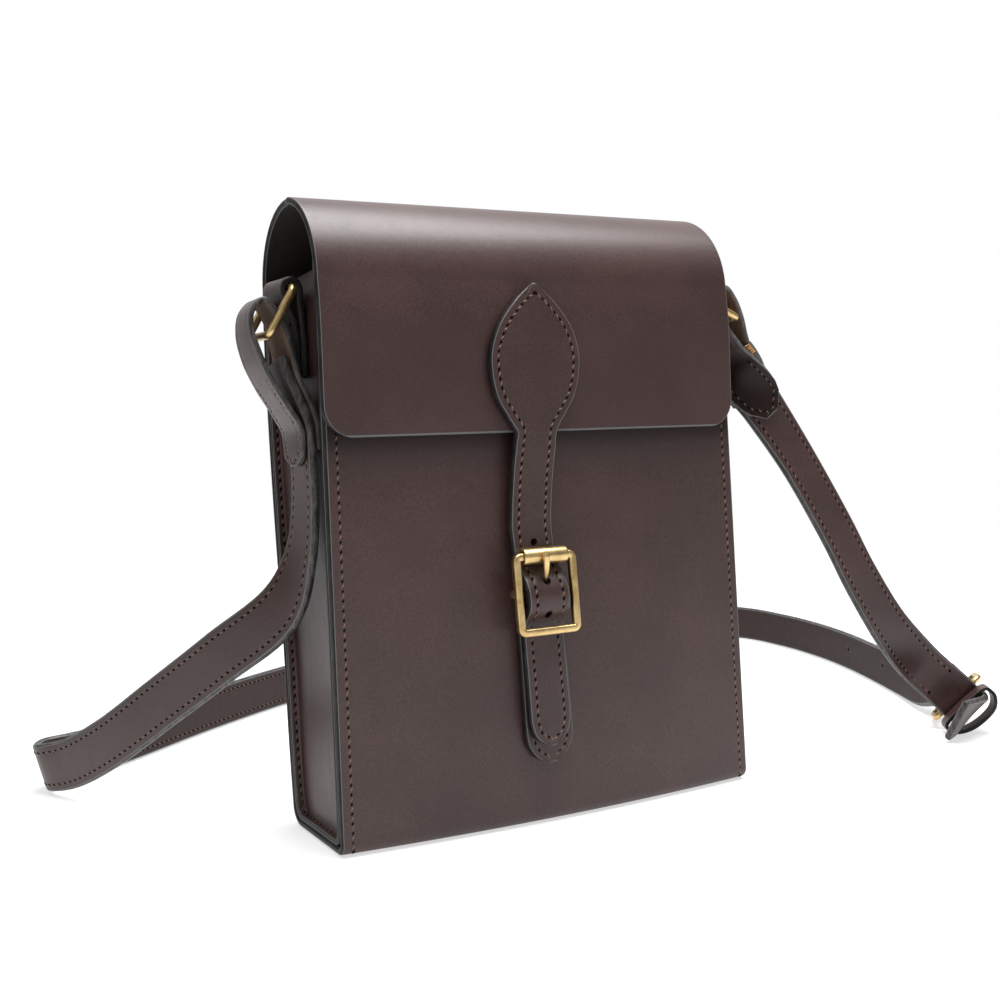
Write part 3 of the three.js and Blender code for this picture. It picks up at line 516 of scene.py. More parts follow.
body = dict(
    thick=2.8, halfWidth=95.7, taper=0.02, lean=-0.029, leanBase=0.7, frontY=-26.2, frontTop=200, fold=5,
    heelY=18.9, heel=8, bulge=5, bulgeTop=140, archY=4, archZ=214, archRadius=32, flapY=-29.3,
    flapBottom=155.3, flapCorner=12, flare=0.8, flareRight=1.2, flareFrom=160, inset=4.4, sink=0.08,
    shade=0.9, shadeFrom=134, shadeReach=22, shadePower=1.5)
backLine = [(26.9, 8), (28.9, 33), (30.4, 74), (33.8, 114), (36.4, 155), (37.2, 185), (36.9, 203), (36, 214)]


def leanAt(z):
    return body["leanBase"] + body["lean"] * z


def halfAt(z):
    return body["halfWidth"] - body["taper"] * z


def arcRows(y, z, radius, first, last, count):
    angle = np.radians(np.linspace(first, last, count))
    return np.column_stack([y + radius * np.cos(angle), z + radius * np.sin(angle)])


def wrapStations():
    # outline in side view as y, z from the hidden top of the front panel to the flap's lower edge
    front = np.column_stack([np.full(90, body["frontY"]), np.linspace(body["frontTop"], 8, 90)])
    fold = arcRows(body["frontY"] + body["fold"], body["fold"], body["fold"], 180, 270, 12)
    bottom = np.column_stack([np.linspace(-19, 17, 16), np.zeros(16)])
    heel = arcRows(body["heelY"], body["heel"], body["heel"], 270, 360, 14)
    back = routeCurve(backLine, 12 * (len(backLine) - 1) + 1)[0][1:-1]
    arch = arcRows(body["archY"], body["archZ"], body["archRadius"], 0, 180, 70)
    drop = routeCurve([(-28, 214), (-28.9, 205), *((body["flapY"], z) for z in (196, 180, 168))], 41)[0][1:]
    turn = np.radians(np.linspace(0, 90, 16))[1:]
    tip = body["flapBottom"] + body["flapCorner"] * (1 - np.sin(turn))
    hem = np.column_stack([np.full(len(tip), body["flapY"]), tip])
    runs = (front, fold, bottom, heel, back, arch, drop, hem)
    line = np.vstack(runs)
    sizes = [len(run) for run in runs]
    marks, count, z = np.cumsum(sizes), len(line), line[:, 1]
    bulge, onFlap, corner, paintedShade = np.zeros((4, count))
    bulge[:marks[1]] = 1
    bulge[marks[1]:marks[2]] = np.interp(line[marks[1]:marks[2], 0], [-21.2, -8, 6], [1, 0.4, 0])
    onFlap[marks[4]:marks[5]] = np.clip(np.linspace(-10, 10, sizes[5]), 0, 1)
    onFlap[marks[5]:] = 1
    flare = body["flare"] * onFlap
    rise = np.clip((z - body["flareFrom"]) / (body["archZ"] - body["flareFrom"]), 0, 1)
    right = body["flareRight"] / 2 * rise * onFlap
    corner[marks[6]:] = body["flapCorner"] * (1 - np.cos(turn))
    # painted shadow: darker leather with less sheen just below the flap's edge, where the flap's shadow falls
    below = np.clip((z[:marks[0]] - body["shadeFrom"]) / body["shadeReach"], 0, 1)
    paintedShade[:marks[0]] = body["shade"] * below ** body["shadePower"]
    step = np.gradient(line, axis=0)
    step /= np.linalg.norm(step, axis=1, keepdims=True)
    inward = np.column_stack([np.zeros(count), -step[:, 1], step[:, 0]])
    outer = np.column_stack([leanAt(z) - flare + right, line[:, 0], z])
    return dict(
        centre=outer + inward * body["thick"] / 2, out=-inward, thick=np.full(count, body["thick"]),
        across=np.broadcast_to([1.0, 0, 0], (count, 3)), half=halfAt(z) - corner + flare + right,
        bulge=bulge, height=z, paintedShade=paintedShade), marks


def wrapPush(across, stations):
    # the front panel swells below the flap
    half, z = stations["half"][:, None], stations["height"][:, None]
    swell = body["bulge"] * (1 - (across / half) ** 2) * np.maximum(0, 1 - z / body["bulgeTop"])
    offset = np.zeros(across.shape + (3,))
    offset[..., 1] = -stations["bulge"][:, None] * swell
    return offset


wrapRun, wrapMarks = wrapStations()
wrapBand = dict(inset=body["inset"], middle=36, crown=0, groove=0.0, flesh=(-1,), lip=1.1)
wrap = bandObject("bodyWrap", wrapRun, bodyLook, wrapBand, push=wrapPush)
standsFor(wrap, "leather", "body_wrap")


def wrapRow(side, first, last):
    # stitches through wrap and gusset flange
    run = part(wrapRun, slice(first, last))
    x = side * (run["half"] - body["inset"])
    lift = run["thick"] / 2 - body["sink"]
    points = run["centre"] + x[:, None] * run["across"] + lift[:, None] * run["out"]
    return points + wrapPush(x[:, None], run)[:, 0], run["out"]


# the rows stop where the bag stands on its bottom
sewnRuns = ((4, wrapMarks[1] - 9), (wrapMarks[2] + 3, wrapMarks[4]))
bodyRows = [wrapRow(side, *run) for side in (-1, 1) for run in sewnRuns]
stitchObject("bodyStitches", bodyRows, "leather", pitch=3.6)
print("body made")


# side walls: a inward from the edge, b outward from the web

gusset = dict(thick=2.2, webInset=3.5, webStart=4.5, gap=0.3, steps=6, spineY=3.5, sag=0.5, sagTop=200,
              pinch=4, pinchFrom=198, pinchReach=20, rowIn=2.12, rowOut=1.3)
gussetInner = [(0, 3.1), (0, 1.2), (0, -1), (0.25, -1.5), (0.7, -1.9), (1.6, -2.2), (4.5, -2.2)]
gussetOuter = [(2.2, 3.1), (2.2, 1.9), (2.2, 0.8), (2.32, 0.45), (2.6, 0.2), (3.1, 0), (4.5, 0)]
gussetLip = [(0.3, 3.42), (1.1, 3.5), (1.9, 3.42)]


def gussetEdge():
    # edge line y, z with the inward direction, on the wrap's inner face
    inside = body["thick"] + gusset["gap"]
    rows = [(body["frontY"] + inside, z, 1, 0) for z in (221, 214, 206, 196, 160, 120, 80, 40, 14)]
    for y, z, radius, first in ((body["frontY"] + 8, 8, 8 - inside, 180), (17.4, 9.2, 9.2 - inside, 270)):
        for turn in (0, 30, 60, 90):
            c, s = math.cos(math.radians(first + turn)), math.sin(math.radians(first + turn))
            rows.append((y + radius * c, z + radius * s, -c, -s))
        if first == 180:
            rows += [(y, inside, 0, 1) for y in (-6, 2, 10)]
    backY, backZ = np.array(backLine).T
    for z in (14, 33, 74, 114, 155, 185, 203, 211, 216):
        rows.append((np.interp(z, backZ, backY) - inside - (0.2 if z > 205 else 0), z, -1, 0))
    return np.array(rows)


def gussetObject(name, side):
    edge = gussetEdge()
    last = len(edge) - 1
    count = last * gusset["steps"] + 1
    line = routeCurve(edge[:, :2], count)[0]
    inward = unit(routeCurve(edge[:, 2:], count, 0)[0])
    place = np.linspace(0, last, count)
    low = np.minimum(np.arange(last + 1), last - np.arange(last + 1))
    mean = (edge[:, 1] + edge[::-1, 1]) / 2
    spineZ = np.interp(place, np.arange(last + 1), np.where(low < 8, mean, 24 - 1.6 * (low - 8)))

    def put(y, z, b, web):
        top = gusset["pinch"] * np.maximum(0, (z - gusset["pinchFrom"]) / gusset["pinchReach"]) ** 2 * web
        return np.stack([side * (halfAt(z) - gusset["webInset"] + b - top) + leanAt(z), y, z], axis=-1)

    def nearEdge(a, b, web=0):
        return put(*(line + a * inward).T, b, web)

    def face(section, depth):
        columns = [nearEdge(a, b, k > 4) for k, (a, b) in enumerate(section)]
        startY, startZ = (line + gusset["webStart"] * inward).T
        for share in np.linspace(0, 1, 9)[1:]:
            y, z = startY + share * (gusset["spineY"] - startY), startZ + share * (spineZ - startZ)
            sag = gusset["sag"] * np.sin(math.pi * share * 0.5) ** 2
            sag = sag * np.sin(np.clip(z / gusset["sagTop"], 0, 1) * math.pi)
            columns.append(put(y, z, depth - sag, 1))
        return columns

    inner, outer = face(gussetInner, -gusset["thick"]), face(gussetOuter, 0)
    lip = [nearEdge(a, b) for a, b in gussetLip]
    points = np.stack(inner[::-1] + lip + outer, axis=1)
    size = points.shape[:2]
    isEdge, isFlesh = np.zeros(size), np.zeros(size)
    isFlesh[:, :len(inner)] = 1
    isEdge[:, len(inner):len(inner) + len(lip)] = 1
    index = np.arange(size[0] * size[1]).reshape(size)
    quads = np.stack([index[:-1, :-1], index[:-1, 1:], index[1:, 1:], index[1:, :-1]], axis=-1)
    faces = quads.reshape(-1, 4).tolist() + [index[0][::-1].tolist(), index[-1].tolist()]
    obj = newObject(name, points.reshape(-1, 3), faces, wallLook, dict(edge=isEdge, flesh=isFlesh))
    work = bmesh.new()
    work.from_mesh(obj.data)
    bmesh.ops.remove_doubles(work, verts=work.verts, dist=0.00001)
    work.to_mesh(obj.data)
    work.free()
    return obj, (nearEdge(gusset["rowIn"], gusset["rowOut"]), np.column_stack([np.zeros(count), inward]))


for label, node, side in (("gussetLeft", "gusset_left", -1), ("gussetRight", "gusset_right", 1)):
    wall, wallRow = gussetObject(label, side)
    standsFor(wall, "leather", node)
    stitchObject(label + "Stitches", [wallRow], "leather", pitch=3.6, thread=2.3)
print("side walls made")


# tabs that carry the rings: distance from the side wall, height

tab = dict(half=10.6, thick=2.2, steps=8, sewnFrom=10, ringOff=5.8, ringZ=211.5)
tabFold = [(1.5, 178), (1.5, 190), (1.8, 200), (2.4, 206.5), (2.4, 211.5), (3.5, 213.8), (5.8, 214.8),
           (8.1, 213.8), (9.1, 211.5), (8.3, 207.5), (5.3, 200), (4.2, 190), (4, 180)]
ringY = {-1: 5.5, 1: 3}


def webX(side, z):
    return side * (halfAt(z) - gusset["webInset"]) + leanAt(z)


for label, node, side in (("ringTabLeft", "ring_tab_left", -1), ("ringTabRight", "ring_tab_right", 1)):
    route = [(webX(side, z) + side * off, ringY[side], z, 0, 1, 0) for off, z in tabFold]
    tabRun = stationsAlong(route, tab["steps"], tab["half"], tab["thick"])
    piece = bandObject(label, tabRun, bodyLook, dict(groove=0, crown=0, flesh=(-side,)))
    standsFor(piece, "leather", node)
    legs = slice(tab["sewnFrom"] * tab["steps"], None)
    stitchObject(label + "Stitches", edgeRows(tabRun, (side,), 3, legs, crown=0), "leather")


# rings of brass wire

ring = dict(wire=1.6, half=13.1, corner=2.4)


def ringObject(name, side, lowX, lowZ):
    top = np.array([webX(side, tab["ringZ"]) + side * tab["ringOff"], ringY[side], tab["ringZ"]])
    low = np.array([lowX, ringY[side], lowZ])
    outline = roundedFrame(ring["half"], np.linalg.norm(low - top) / 2, ring["corner"])
    down = unit(low - top)
    points = (top + low) / 2 + outline[:, :1] * np.array([0, 1, 0]) + outline[:, 1:] * down
    return tubeObject(name, points, ring["wire"], brassFinish, ring=True, up=np.cross([0, 1, 0], down))


standsFor(ringObject("ringLeft", -1, -109.4, 193.8), "brass", "ring_left")
standsFor(ringObject("ringRight", 1, 107.2, 203), "brass", "ring_right")
print("tabs and rings made")


# strips on the front: z, x, y of the middle layer, and half width where it is not the piece's own


def frontRun(route, piece, lean=0):
    z, x, y, half = np.array([(*row, piece["half"])[:4] for row in route], float).T
    across = np.broadcast_to([1, 0, lean], (len(z), 3))
    return stationsAlong(np.column_stack([x, y, z, across]), piece["steps"], half, piece["thick"])


# closure strap from its lower tip to the leaf's point

closure = dict(thick=3.2, half=9.5, steps=5, crown=0.25, hole=(1.5, 14), prongHole=(1.7, 14))
closureRoute = [
    (32, -8.6, -34.7, 1.2), (35, -8.9, -34.6, 6.2), (38.5, -9.2, -34.5, 8.6), (43, -9.4, -34.3),
    (60, -10.2, -33.7), (71, -10.7, -33.2), (79, -11.1, -33.2), (83, -11.3, -35.1), (88.2, -11.6, -39.2),
    (93, -12, -39.6), (96.5, -12.2, -38.2), (100, -12.5, -35.4), (103.6, -12.9, -32.9), (107.6, -13.3, -31.5),
    (113, -13.8, -31), (120, -14.1, -30.6), (140, -12.7, -30.7), (150, -11.5, -31.1), (155.4, -11, -31.3),
    (161.2, -11, -31.3, 13), (168.6, -11, -31.3, 17.6), (177.4, -10.8, -31.3, 20), (187, -10.6, -31.3, 20.1),
    (197.2, -10.5, -31.3, 16.3), (206.4, -10.4, -30.8, 8.9), (213, -10.3, -30.2, 0.8)]
closureHoles = [(-11.4, -37, 84.7), (-13.8, -31.3, 112.6)]

prongPlace = (-12.2, -37, 98)
closureRun = frontRun(closureRoute, closure)
closureBand = dict(crown=closure["crown"], groove=0.16, flesh=(1,), middle=7)
closurePiece = bandObject("closureStrap", closureRun, strapLook, closureBand)
acrossHole = Matrix.Rotation(math.pi / 2, 4, "X")
drilled(closurePiece, *((Matrix.Translation(place) @ acrossHole, closure["hole"]) for place in closureHoles),
        (Matrix.Translation(prongPlace) @ acrossHole, closure["prongHole"]))
standsFor(closurePiece, "strap_leather", "closure_strap")
closureRows = edgeRows(closureRun, (-1,), crown=closure["crown"])
stitchObject("closureStitches", closureRows, pitch=3.55)


# buckle chape behind the closure strap, folded over the buckle's middle bar

chape = dict(thick=2.4, half=8.4, steps=5, sewn=6, slot=(3.8, 16, 12))
chapeRoute = [
    (24.5, -7.2, -31.9, 1.5), (27.5, -7.5, -31.8, 7), (31.5, -7.8, -31.7, 9.8), (36, -8.1, -31.5, 11),
    (60, -9.2, -30.6, 10.8), (78, -10.2, -30, 10.4), (88, -10.9, -29.6, 9), (93, -11.2, -29.4),
    (95.3, -11.3, -30.4), (96.3, -11.3, -32.7), (95.3, -11.3, -35), (93, -11.2, -36), (89.4, -11.1, -35.9)]
buckle = dict(x=-11.2, y=-32.7, z=93, lean=-0.02, halfWidth=12.5, halfHeight=14.6, corner=1.7, wire=1.6,
              flat=0.62, rise=5.5, tilt=0.06, aside=-0.5, slant=0.03, prongAside=-0.3, prongFrom=4)

chapeRun = frontRun(chapeRoute, chape, buckle["lean"])
chapePiece = bandObject("buckleChape", chapeRun, strapLook, dict(crown=0.1, groove=0.12))
drilled(chapePiece, (Matrix.Translation((buckle["x"], buckle["y"] - 1, buckle["z"] + 1)), chape["slot"]))
standsFor(chapePiece, "strap_leather", "buckle_chape")
chapeRows = edgeRows(chapeRun, (-1,), 3.2, slice(0, chape["sewn"] * chape["steps"]))
stitchObject("chapeStitches", chapeRows, pitch=3.4)


# front buckle: a across, o outward from the middle bar, h up the strap


def onBuckle(a, o, h):
    x = buckle["x"] + buckle["aside"] + a - buckle["slant"] * h
    return np.stack(np.broadcast_arrays(x, buckle["y"] - o, buckle["z"] + h), axis=-1)


def frameOut(h):
    return buckle["rise"] - buckle["tilt"] * h


def buckleFrame():
    a, h = roundedFrame(buckle["halfWidth"], buckle["halfHeight"], buckle["corner"]).T
    frameLoop = tubeObject("buckleFrame", onBuckle(a, frameOut(h), h), buckle["wire"], brassFinish, ring=True,
                           sides=28, up=(0, 1, 0), square=buckle["flat"])
    # middle bar, set lower on two posts
    reach = buckle["halfWidth"]
    post = [(-reach, 5), (-reach, 2.2), (-reach + 1.6, 0.1), (-reach + 4, 0)]
    a, o = routeCurve(post + [(-a, o) for a, o in post[::-1]], 57)[0].T
    bar = tubeObject("buckleBar", onBuckle(a, o, 0), buckle["wire"], brassFinish, up=(0, 0, 1))
    return frameLoop, bar


roller = dict(sides=40, end=[(-9.7, 2.1), (-9.7, 2.9), (-9.4, 3.17), (-8.8, 3.25), (-4, 3.25)])


def rollerObject():
    # rolled sheet with turned-in ends
    centre = onBuckle(0, frameOut(buckle["halfHeight"]), buckle["halfHeight"])
    turn = np.linspace(0, 2 * np.pi, roller["sides"], endpoint=False)
    around = np.column_stack([0 * turn, np.sin(turn), np.cos(turn)])
    profile = roller["end"] + [(-a, r) for a, r in roller["end"][::-1]]
    rings = np.array([centre + np.array([a, 0, 0]) + r * around for a, r in profile])
    faces = gridFaces(len(profile), roller["sides"], True)
    return newObject("buckleRoller", rings.reshape(-1, 3), faces, brassFinish, sharp=40)


frontProng = [(1.8, -3), (-1.8, -3), (-3.4, 0), (-1.8, 3), (1.6, 3.4), (3.8, 4.6), (6.4, 7.2), (8.6, 10.8),
              (9.3, 14.4), (9.2, 16.6)]


def alongProng(o, h):
    return onBuckle(buckle["prongAside"] * np.clip(o - buckle["prongFrom"], 0, None), o, h)


def prongObject(name, route, steps, taper, wire, tip, at, up):
    # thick wire, thinner over its last steps
    radius = np.interp(np.arange(steps + 1), [0, steps - taper, steps], [wire, wire, tip])
    return tubeObject(name, at(*routeCurve(route, steps + 1)[0].T), radius, brassFinish, up=up)


frameLoop, bar = buckleFrame()
standsFor(frameLoop, "brass", "buckle_frame")
standsFor(bar, "brass")
standsFor(rollerObject(), "brass", "buckle_roller")
prong = prongObject("buckleProng", frontProng, 90, 8, 1.3, 0.8, alongProng, (1, 0, 0))
standsFor(prong, "brass", "buckle_prong")
print("closure and buckle made")


# shoulder strap: routes hold x, y, z of the middle layer and the across direction

strap = dict(
    half=11, thick=3.4, loopThick=2, loopGap=0.3, longSteps=9, shortSteps=12, loopSteps=8, hole=(1.5, 12),
    prongHole=(1.6, 8), slot=(3.2, 9, 14), tipFrom=10, fleshFrom=13, longSewn=(4, 22), shortSewn=(2, 9))
strapBand = dict(crown=0.1, groove=0.05, middle=5)
strapSewing = dict(thread=1.6, threadRadius=0.27, hole=0.6)
loopBand = dict(crown=0.12, groove=0.08, middle=5)
strapBuckle = dict(place=(240, -15, 15.4), wire=1.5, halfWidth=14.5, length=20, rise=4.3, corner=3)
buckleAlong = np.array([0.574, 0.819, 0])
buckleAcross = np.array([0.579, -0.406, 0.707])
buckleOut = np.array([0.579, -0.406, -0.707])


def atStrapBuckle(s, w, n):
    # s along, w across, n out from the hinge bar
    ways = zip((s, w, n), (buckleAlong, buckleAcross, buckleOut))
    return strapBuckle["place"] + sum(np.asarray(value, float)[..., None] * way for value, way in ways)


def buckleRows(rows, side):
    return [(*atStrapBuckle(*row[:3]), *(side * buckleAcross)) for row in rows]


leftLoop = [(-94.4, -5.8, 150, 0), (-94.4, -4.5, 160, 0), (-96.4, -2, 169, 0), (-99.4, 0.5, 178, 0),
            (-101.2, 3.2, 190, 0), (-104, 5.2, 201, -0.06), (-109, 5.3, 207, -0.1), (-113.6, 5.3, 203, -0.1),
            (-114.6, 5.2, 195.5, -0.06), (-112.8, 3.2, 186, 0), (-109, 1, 176, 0), (-104, -2, 166, 0),
            (-100.7, -4.5, 158, 0), (-100.4, -5.8, 149, 0), (-100.4, -6, 145, 0)]
leftHalf = [strap["half"]] * 13 + [9.5, 3.5]
leftRun = stationsAlong([(*row, -1, 0) for row in leftLoop], strap["loopSteps"], leftHalf, strap["loopThick"])
leftPiece = bandObject("strapLoopLeft", leftRun, looseLook, dict(loopBand, flesh=(-1,)))
standsFor(leftPiece, "strap_leather", "strap_loop_left")
leftRows = edgeRows(leftRun, (1,), 3.2, slice(strap["tipFrom"] * strap["loopSteps"], None))
stitchObject("loopLeftStitches", leftRows)

hanging = [
    (-104.2, 2.4, 184), (-102.8, 1, 178), (-100.1, -1.8, 169.5), (-97.6, -4.5, 160), (-97.3, -5.8, 150)]
falling = [
    (-97.3, -5.8, 129, 0.03, -1, 0), (-99, -4, 111, 0.12, -0.99, 0), (-104.5, 3, 92, 0.4, -0.9, -0.16),
    (-121.5, 32.3, 69, 0.27, -0.48, -0.84), (-137.6, 60.5, 48.4, 0.27, -0.47, -0.84),
    (-154.5, 90, 27.2, 0.25, -0.43, -0.87), (-166, 112, 15.6, 0.26, -0.35, -0.9),
    (-174, 128, 11.6, 0.25, -0.12, -0.96), (-171, 137, 11.4, 0.18, -0.12, -0.97),
    (-160, 141, 11.4, 0.1, -0.1, -0.99)]
onFloor = [
    (-150, 146.5), (-128, 162), (-78, 201), (-23, 238), (60, 284), (150, 308), (230, 312), (290, 292),
    (321, 252), (322.5, 207), (315, 164), (302.5, 124), (286, 84)]
rising = [(271, 50, 11.5, -0.1, 0.05, -1), (259, 24, 12.4, -0.31, 0.18, -0.93)]
throughBuckle = buckleRows([(20, 0, 0.6), (10, 0, 3.4), (0, 0.6, 5.9), (-7, 0.5, 5.7)], -1)
tongueEnd = [(233.4, -28.9, 11.6, -0.56, 0.41, -0.72), (225, -33, 11.2, -0.38, 0.4, -0.83),
             (215.5, -36.5, 11.2, -0.3, 0.36, -0.88)]
tongueHoles = [(282, 75, 13), (302, 123, 13)]

longRoute = [*((*row, 0, -1, 0) for row in hanging), *falling, *((x, y, 11.3, 0, 0, -1) for x, y in onFloor),
             *rising, *throughBuckle, *tongueEnd]
longRun = stationsAlong(longRoute, strap["longSteps"], strap["half"], strap["thick"])
# past its bend on the left the strap turns its matt back towards the bag
tongueBand = dict(strapBand, flesh=(-1,), fleshFrom=strap["fleshFrom"] * strap["longSteps"])
longPiece = bandObject("strapLong", longRun, tongueLook, tongueBand)
sideways = Matrix.Rotation(math.pi / 2, 4, "Y")
buckleTurn = Matrix(np.column_stack([buckleAcross, buckleAlong, buckleOut]).tolist()).to_4x4()
prongHole = Matrix.Translation(atStrapBuckle(7, 0, 4.4)) @ buckleTurn
drilled(longPiece, *((Matrix.Translation(place) @ sideways, strap["hole"]) for place in tongueHoles),
        (prongHole, strap["prongHole"]))
standsFor(longPiece, "strap_leather", "strap_long")


def sewBothFaces(name, stations, steps, span):
    # rows on both faces between two points of the route
    rows = slice(*(steps * place for place in span))
    stitchObject(name, edgeRows(stations, (-1, 1), 3.6, rows), **strapSewing)


sewBothFaces("strapLongStitches", longRun, strap["longSteps"], strap["longSewn"])

shortRoute = [
    (112.5, 2.6, 189, 0.2, -0.97, 0.1), (117, 1.8, 181, 0.5, -0.8, 0.33), (122, 0.8, 173, 0.72, -0.4, 0.53),
    (128, -0.4, 165, 0.8, -0.1, 0.6), (147.6, -2.6, 138.5, 0.83, 0.1, 0.55),
    (170.4, -4.6, 103.4, 0.85, 0.1, 0.53), (184.4, -5.8, 79.5, 0.84, 0.06, 0.54),
    (203.4, -6.9, 52.6, 0.8, -0.05, 0.6)]
shortEnd = [
    (-2.8, -0.6, -26, 3.4), (-2.8, -0.4, -14, 3.4), (-2.8, 0, -6, 2.4), (-2.8, 0, 0, 2), (-2, 0, 2, 2),
    (0, 0, 2.8, 2), (2, 0, 2, 2), (2.8, 0, 0, 2), (2.7, 0, -6, 2), (2.5, 0, -13, 2)]
shortThick = [strap["thick"]] * len(shortRoute) + [row[3] for row in shortEnd]
shortRun = stationsAlong(shortRoute + buckleRows(shortEnd, 1), strap["shortSteps"], strap["half"], shortThick)
shortPiece = bandObject("strapShort", shortRun, looseLook, strapBand)
drilled(shortPiece, (Matrix.Translation(strapBuckle["place"]) @ buckleTurn, strap["slot"]))
standsFor(shortPiece, "strap_leather", "strap_short")
sewBothFaces("strapShortStitches", shortRun, strap["shortSteps"], strap["shortSewn"])
print("straps made")


# right end piece: folded through the ring, its legs on both faces of the short strap

shadeFade = dict(depth=0.92, steps=10)
rightFold = [(104.3, 2.8, 198), (100.4, 3, 205.5), (100.2, 3, 213.4), (103.2, 3, 216.6), (108.3, 3, 211.5),
             (112.2, 2.9, 203), (114, 2.8, 196)]


def rightLoopStations():
    fine = strap["shortSteps"] // 4
    shift = strap["thick"] / 2 + strap["loopGap"] + strap["loopThick"] / 2

    def leg(steps, side, half):
        run = part(shortRun, steps)
        return dict(centre=run["centre"] + side * shift * run["out"], out=-side * run["out"],
                    across=run["across"], half=half, thick=np.full(len(half), float(strap["loopThick"])))

    upSteps = np.arange(13 * fine, -1, -1)
    downSteps = np.arange(0, 11 * fine + 1)
    inner = leg(upSteps, 1, np.interp(upSteps / fine, [10.5, 12, 13], [11, 10, 4]))
    outer = leg(downSteps, -1, np.interp(downSteps / fine, [10, 11], [11, 8]))
    first = (*inner["centre"][-1], *inner["across"][-1])
    last = (*outer["centre"][0], *outer["across"][0])
    fold = [(*row, 0, -1, 0) for row in rightFold]
    turn = stationsAlong([first, *fold, last], strap["loopSteps"], strap["half"], strap["loopThick"])
    return joined(inner, part(turn, slice(1, -1)), outer), len(upSteps)


rightRun, innerCount = rightLoopStations()
# painted shade: its front leg is painted darker, fading where it turns into the fold
legLeft = innerCount - np.arange(len(rightRun["centre"]))
rightRun["paintedShade"] = shadeFade["depth"] * np.clip(legLeft / shadeFade["steps"], 0, 1)
rightPiece = bandObject("strapLoopRight", rightRun, paintedEdgeHighlightLook, dict(loopBand, flesh=(1,)))
standsFor(rightPiece, "strap_leather", "strap_loop_right")
rightRows = [row for rows in (slice(0, innerCount - 12), slice(-24, None))
             for row in edgeRows(rightRun, (-1,), 3.2, rows)]
stitchObject("loopRightStitches", rightRows)

# thread wound over the strap's edge where the end piece closes on it
whip = dict(steps=8, turns=5, perTurn=12, inset=0.3, depth=0.55, reach=1.5, wire=0.34)


def whipLine():
    turn = np.linspace(0, 2 * np.pi * whip["turns"], whip["perTurn"] * whip["turns"])
    steps = np.arange(whip["steps"])
    place = np.linspace(0, steps[-1], len(turn))
    centre, across, out = (
        np.column_stack([np.interp(place, steps, column) for column in shortRun[key][steps].T])
        for key in ("centre", "across", "out"))
    side = strap["half"] - whip["inset"] + whip["depth"] * np.sin(turn)
    return centre + across * side[:, None] + out * (whip["reach"] * np.cos(turn))[:, None]


standsFor(tubeObject("loopRightWhipping", whipLine(), whip["wire"], whipFinish, sides=8), "strap_leather")


# strap buckle, its prong and the keeper


def strapBuckleObject():
    w, s = roundedFrame(strapBuckle["halfWidth"], strapBuckle["length"] / 2, strapBuckle["corner"]).T
    s = s + strapBuckle["length"] / 2
    points = atStrapBuckle(s, w, strapBuckle["rise"] * s / strapBuckle["length"])
    return tubeObject("strapBuckleFrame", points, strapBuckle["wire"], brassFinish, ring=True, up=buckleOut)


strapProng = [(1.8, -2.2), (-1, -2.6), (-2.8, 0), (-1, 2.6), (2.4, 3.3), (8, 4.9), (14.5, 6.8), (19.5, 7.2),
              (22.2, 7)]


def alongStrapProng(s, n):
    return atStrapBuckle(s, 0 * s, n)


keeper = dict(start=-14, width=8, thick=1.7, steps=8, band=dict(inset=1.6, groove=0, crown=0.1, middle=3))
keeperLoop = [(-13.6, 2), (-14.2, 4.4), (-13, 7.4), (-7, 11.3), (2, 12.8), (9, 11.8), (13, 7.8), (13.4, 4.6),
              (12.6, 2.2), (6, 1.2), (-6, 0.9)]


def keeperStations():
    # the route runs on past its start, and the middle of it closes smoothly
    around = keeperLoop[-2:] + keeperLoop + keeperLoop[:3]
    steps, count = keeper["steps"], keeper["steps"] * len(keeperLoop)
    once = slice(2 * steps, 2 * steps + count)
    place, along = (values[once] for values in routeCurve(around, (len(around) - 1) * steps + 1))
    centre = atStrapBuckle(np.full(count, keeper["start"] + keeper["width"] / 2), *place.T)
    out = along[:, :1] * buckleOut - along[:, 1:] * buckleAcross
    return dict(centre=centre, out=unit(out), across=np.broadcast_to(buckleAlong, (count, 3)),
                half=np.full(count, keeper["width"] / 2), thick=np.full(count, keeper["thick"]))


standsFor(strapBuckleObject(), "brass", "strap_buckle_frame")
prong = prongObject("strapBuckleProng", strapProng, 80, 20, 1, 0.55, alongStrapProng, buckleAcross)
standsFor(prong, "brass", "strap_buckle_prong")
keeperPiece = bandObject("strapKeeper", keeperStations(), strapLook, keeper["band"], ring=True)
standsFor(keeperPiece, "strap_leather", "strap_keeper")
print("strap buckle made")


# stage: pale floor, white room, a soft light overhead and a weak one from the left

stage = dict(away=(0.483, 0.876, 0), roomBack=1.0, roomFront=0.27, roomTop=0.4, key=31, keySize=0.9,
             keyPlace=(0.12, -0.13, 1.25), side=2.1, sideSize=1.0, sidePlace=(-1.5, -0.35, 0.7),
             aim=(0, 0, 0.15), floorReach=1.3, floorSides=96, floorZ=-0.0004, floorGlow=0.6)

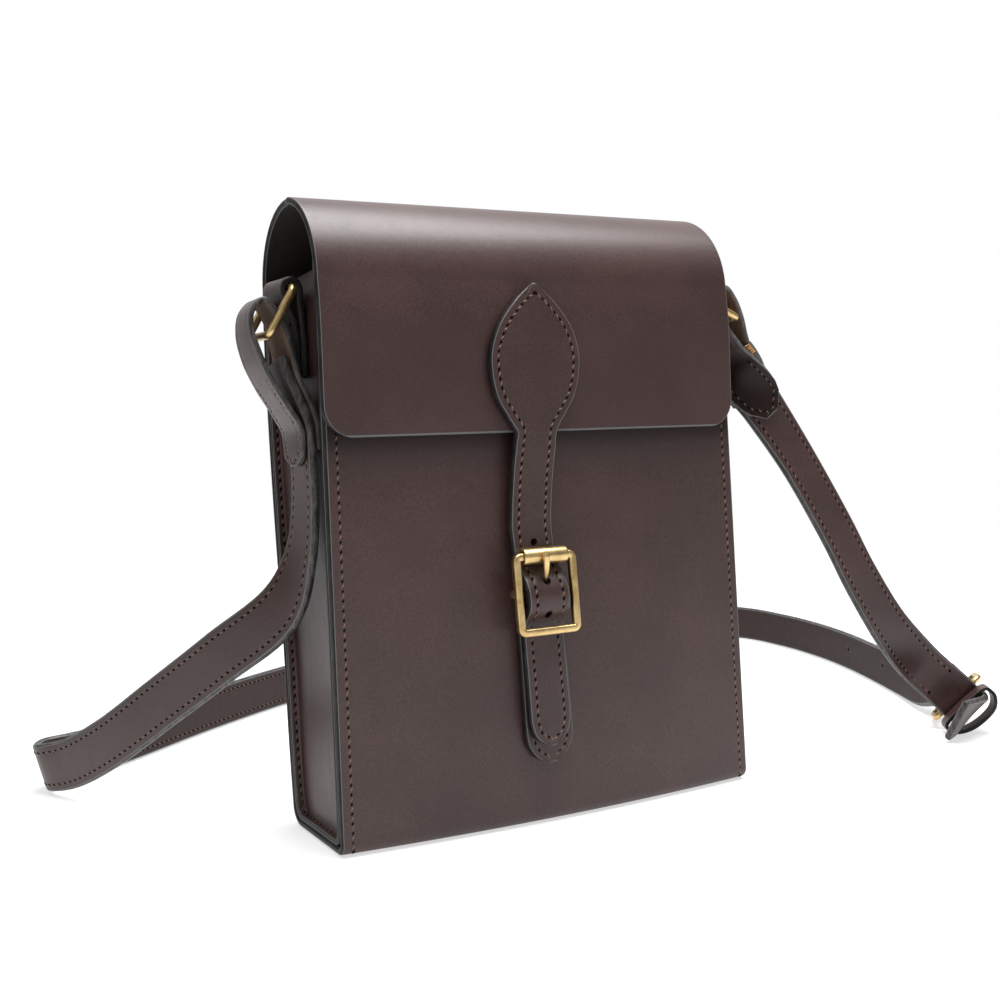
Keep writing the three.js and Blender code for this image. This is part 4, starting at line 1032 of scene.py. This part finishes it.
floorLook = plainLook("paleFloor", (0.4, 0.4, 0.4), (0.42, 0.42, 0.42), 2, 0.8,
                      {"Emission Color": (1, 1, 1, 1), "Emission Strength": stage["floorGlow"]})
floorMesh = bpy.data.meshes.new("floor")
floorTurn = np.linspace(0, 2 * np.pi, stage["floorSides"], endpoint=False)
floorRim = stage["floorReach"] * np.column_stack([np.cos(floorTurn), np.sin(floorTurn)])
floorPoints = [(x, y, stage["floorZ"]) for x, y in floorRim.tolist()]
floorMesh.from_pydata(floorPoints, [], [list(range(len(floorPoints)))])
floorMesh.materials.append(floorLook)
floor = placed("floor", floorMesh)

room = bpy.data.worlds.new("whiteRoom")
room.use_nodes = True
air = room.node_tree
direction = addNode(air, "ShaderNodeTexCoord").outputs["Generated"]


def roomPart(way, start, end, low, high):
    # brightness that grows towards one direction
    share = addNode(air, "ShaderNodeVectorMath", {0: direction, 1: way}, operation="DOT_PRODUCT")
    inputs = {"Value": share.outputs["Value"], "From Min": start, "From Max": end, "To Min": low,
              "To Max": high}
    return madeBy(air, "ShaderNodeMapRange", inputs, interpolation_type="SMOOTHSTEP")


backdrop = roomPart(stage["away"], 0.62, 0.87, stage["roomFront"], stage["roomBack"])
ceiling = roomPart((0, 0, 1), 0.35, 0.9, 0, stage["roomTop"])
feed(air, air.nodes["Background"], {"Strength": mathOn(air, "ADD", backdrop, ceiling), "Color": (1, 1, 1, 1)})
scene.world = room


def softLight(name, place, size, power):
    lamp = bpy.data.lights.new(name, "AREA")
    lamp.size, lamp.energy = size, power
    obj = placed(name, lamp)
    obj.location = place
    obj.rotation_euler = (Vector(stage["aim"]) - Vector(place)).to_track_quat("-Z", "Y").to_euler()


softLight("keyLight", stage["keyPlace"], stage["keySize"], stage["key"])
softLight("sideLight", stage["sidePlace"], stage["sideSize"], stage["side"])
scene.view_settings.view_transform = "Standard"


# camera at the photographed angle

view = dict(place=(-0.268, -0.4673, 0.1617), yaw=28.876, pitch=-3.68, roll=1.467, lens=46.66, sensor=36,
            near=0.01)


def addCamera():
    yaw, pitch, roll = (math.radians(view[key]) for key in ("yaw", "pitch", "roll"))
    data = bpy.data.cameras.new("camera")
    data.lens, data.sensor_width, data.clip_start = view["lens"], view["sensor"], view["near"]
    matrix = Matrix.Translation(view["place"])
    for angle, axis in ((-yaw, "Z"), (math.pi / 2 + pitch, "X"), (-roll, "Z")):
        matrix = matrix @ Matrix.Rotation(angle, 4, axis)
    scene.camera = placed("camera", data)
    scene.camera.matrix_world = matrix


addCamera()
print("stage made")
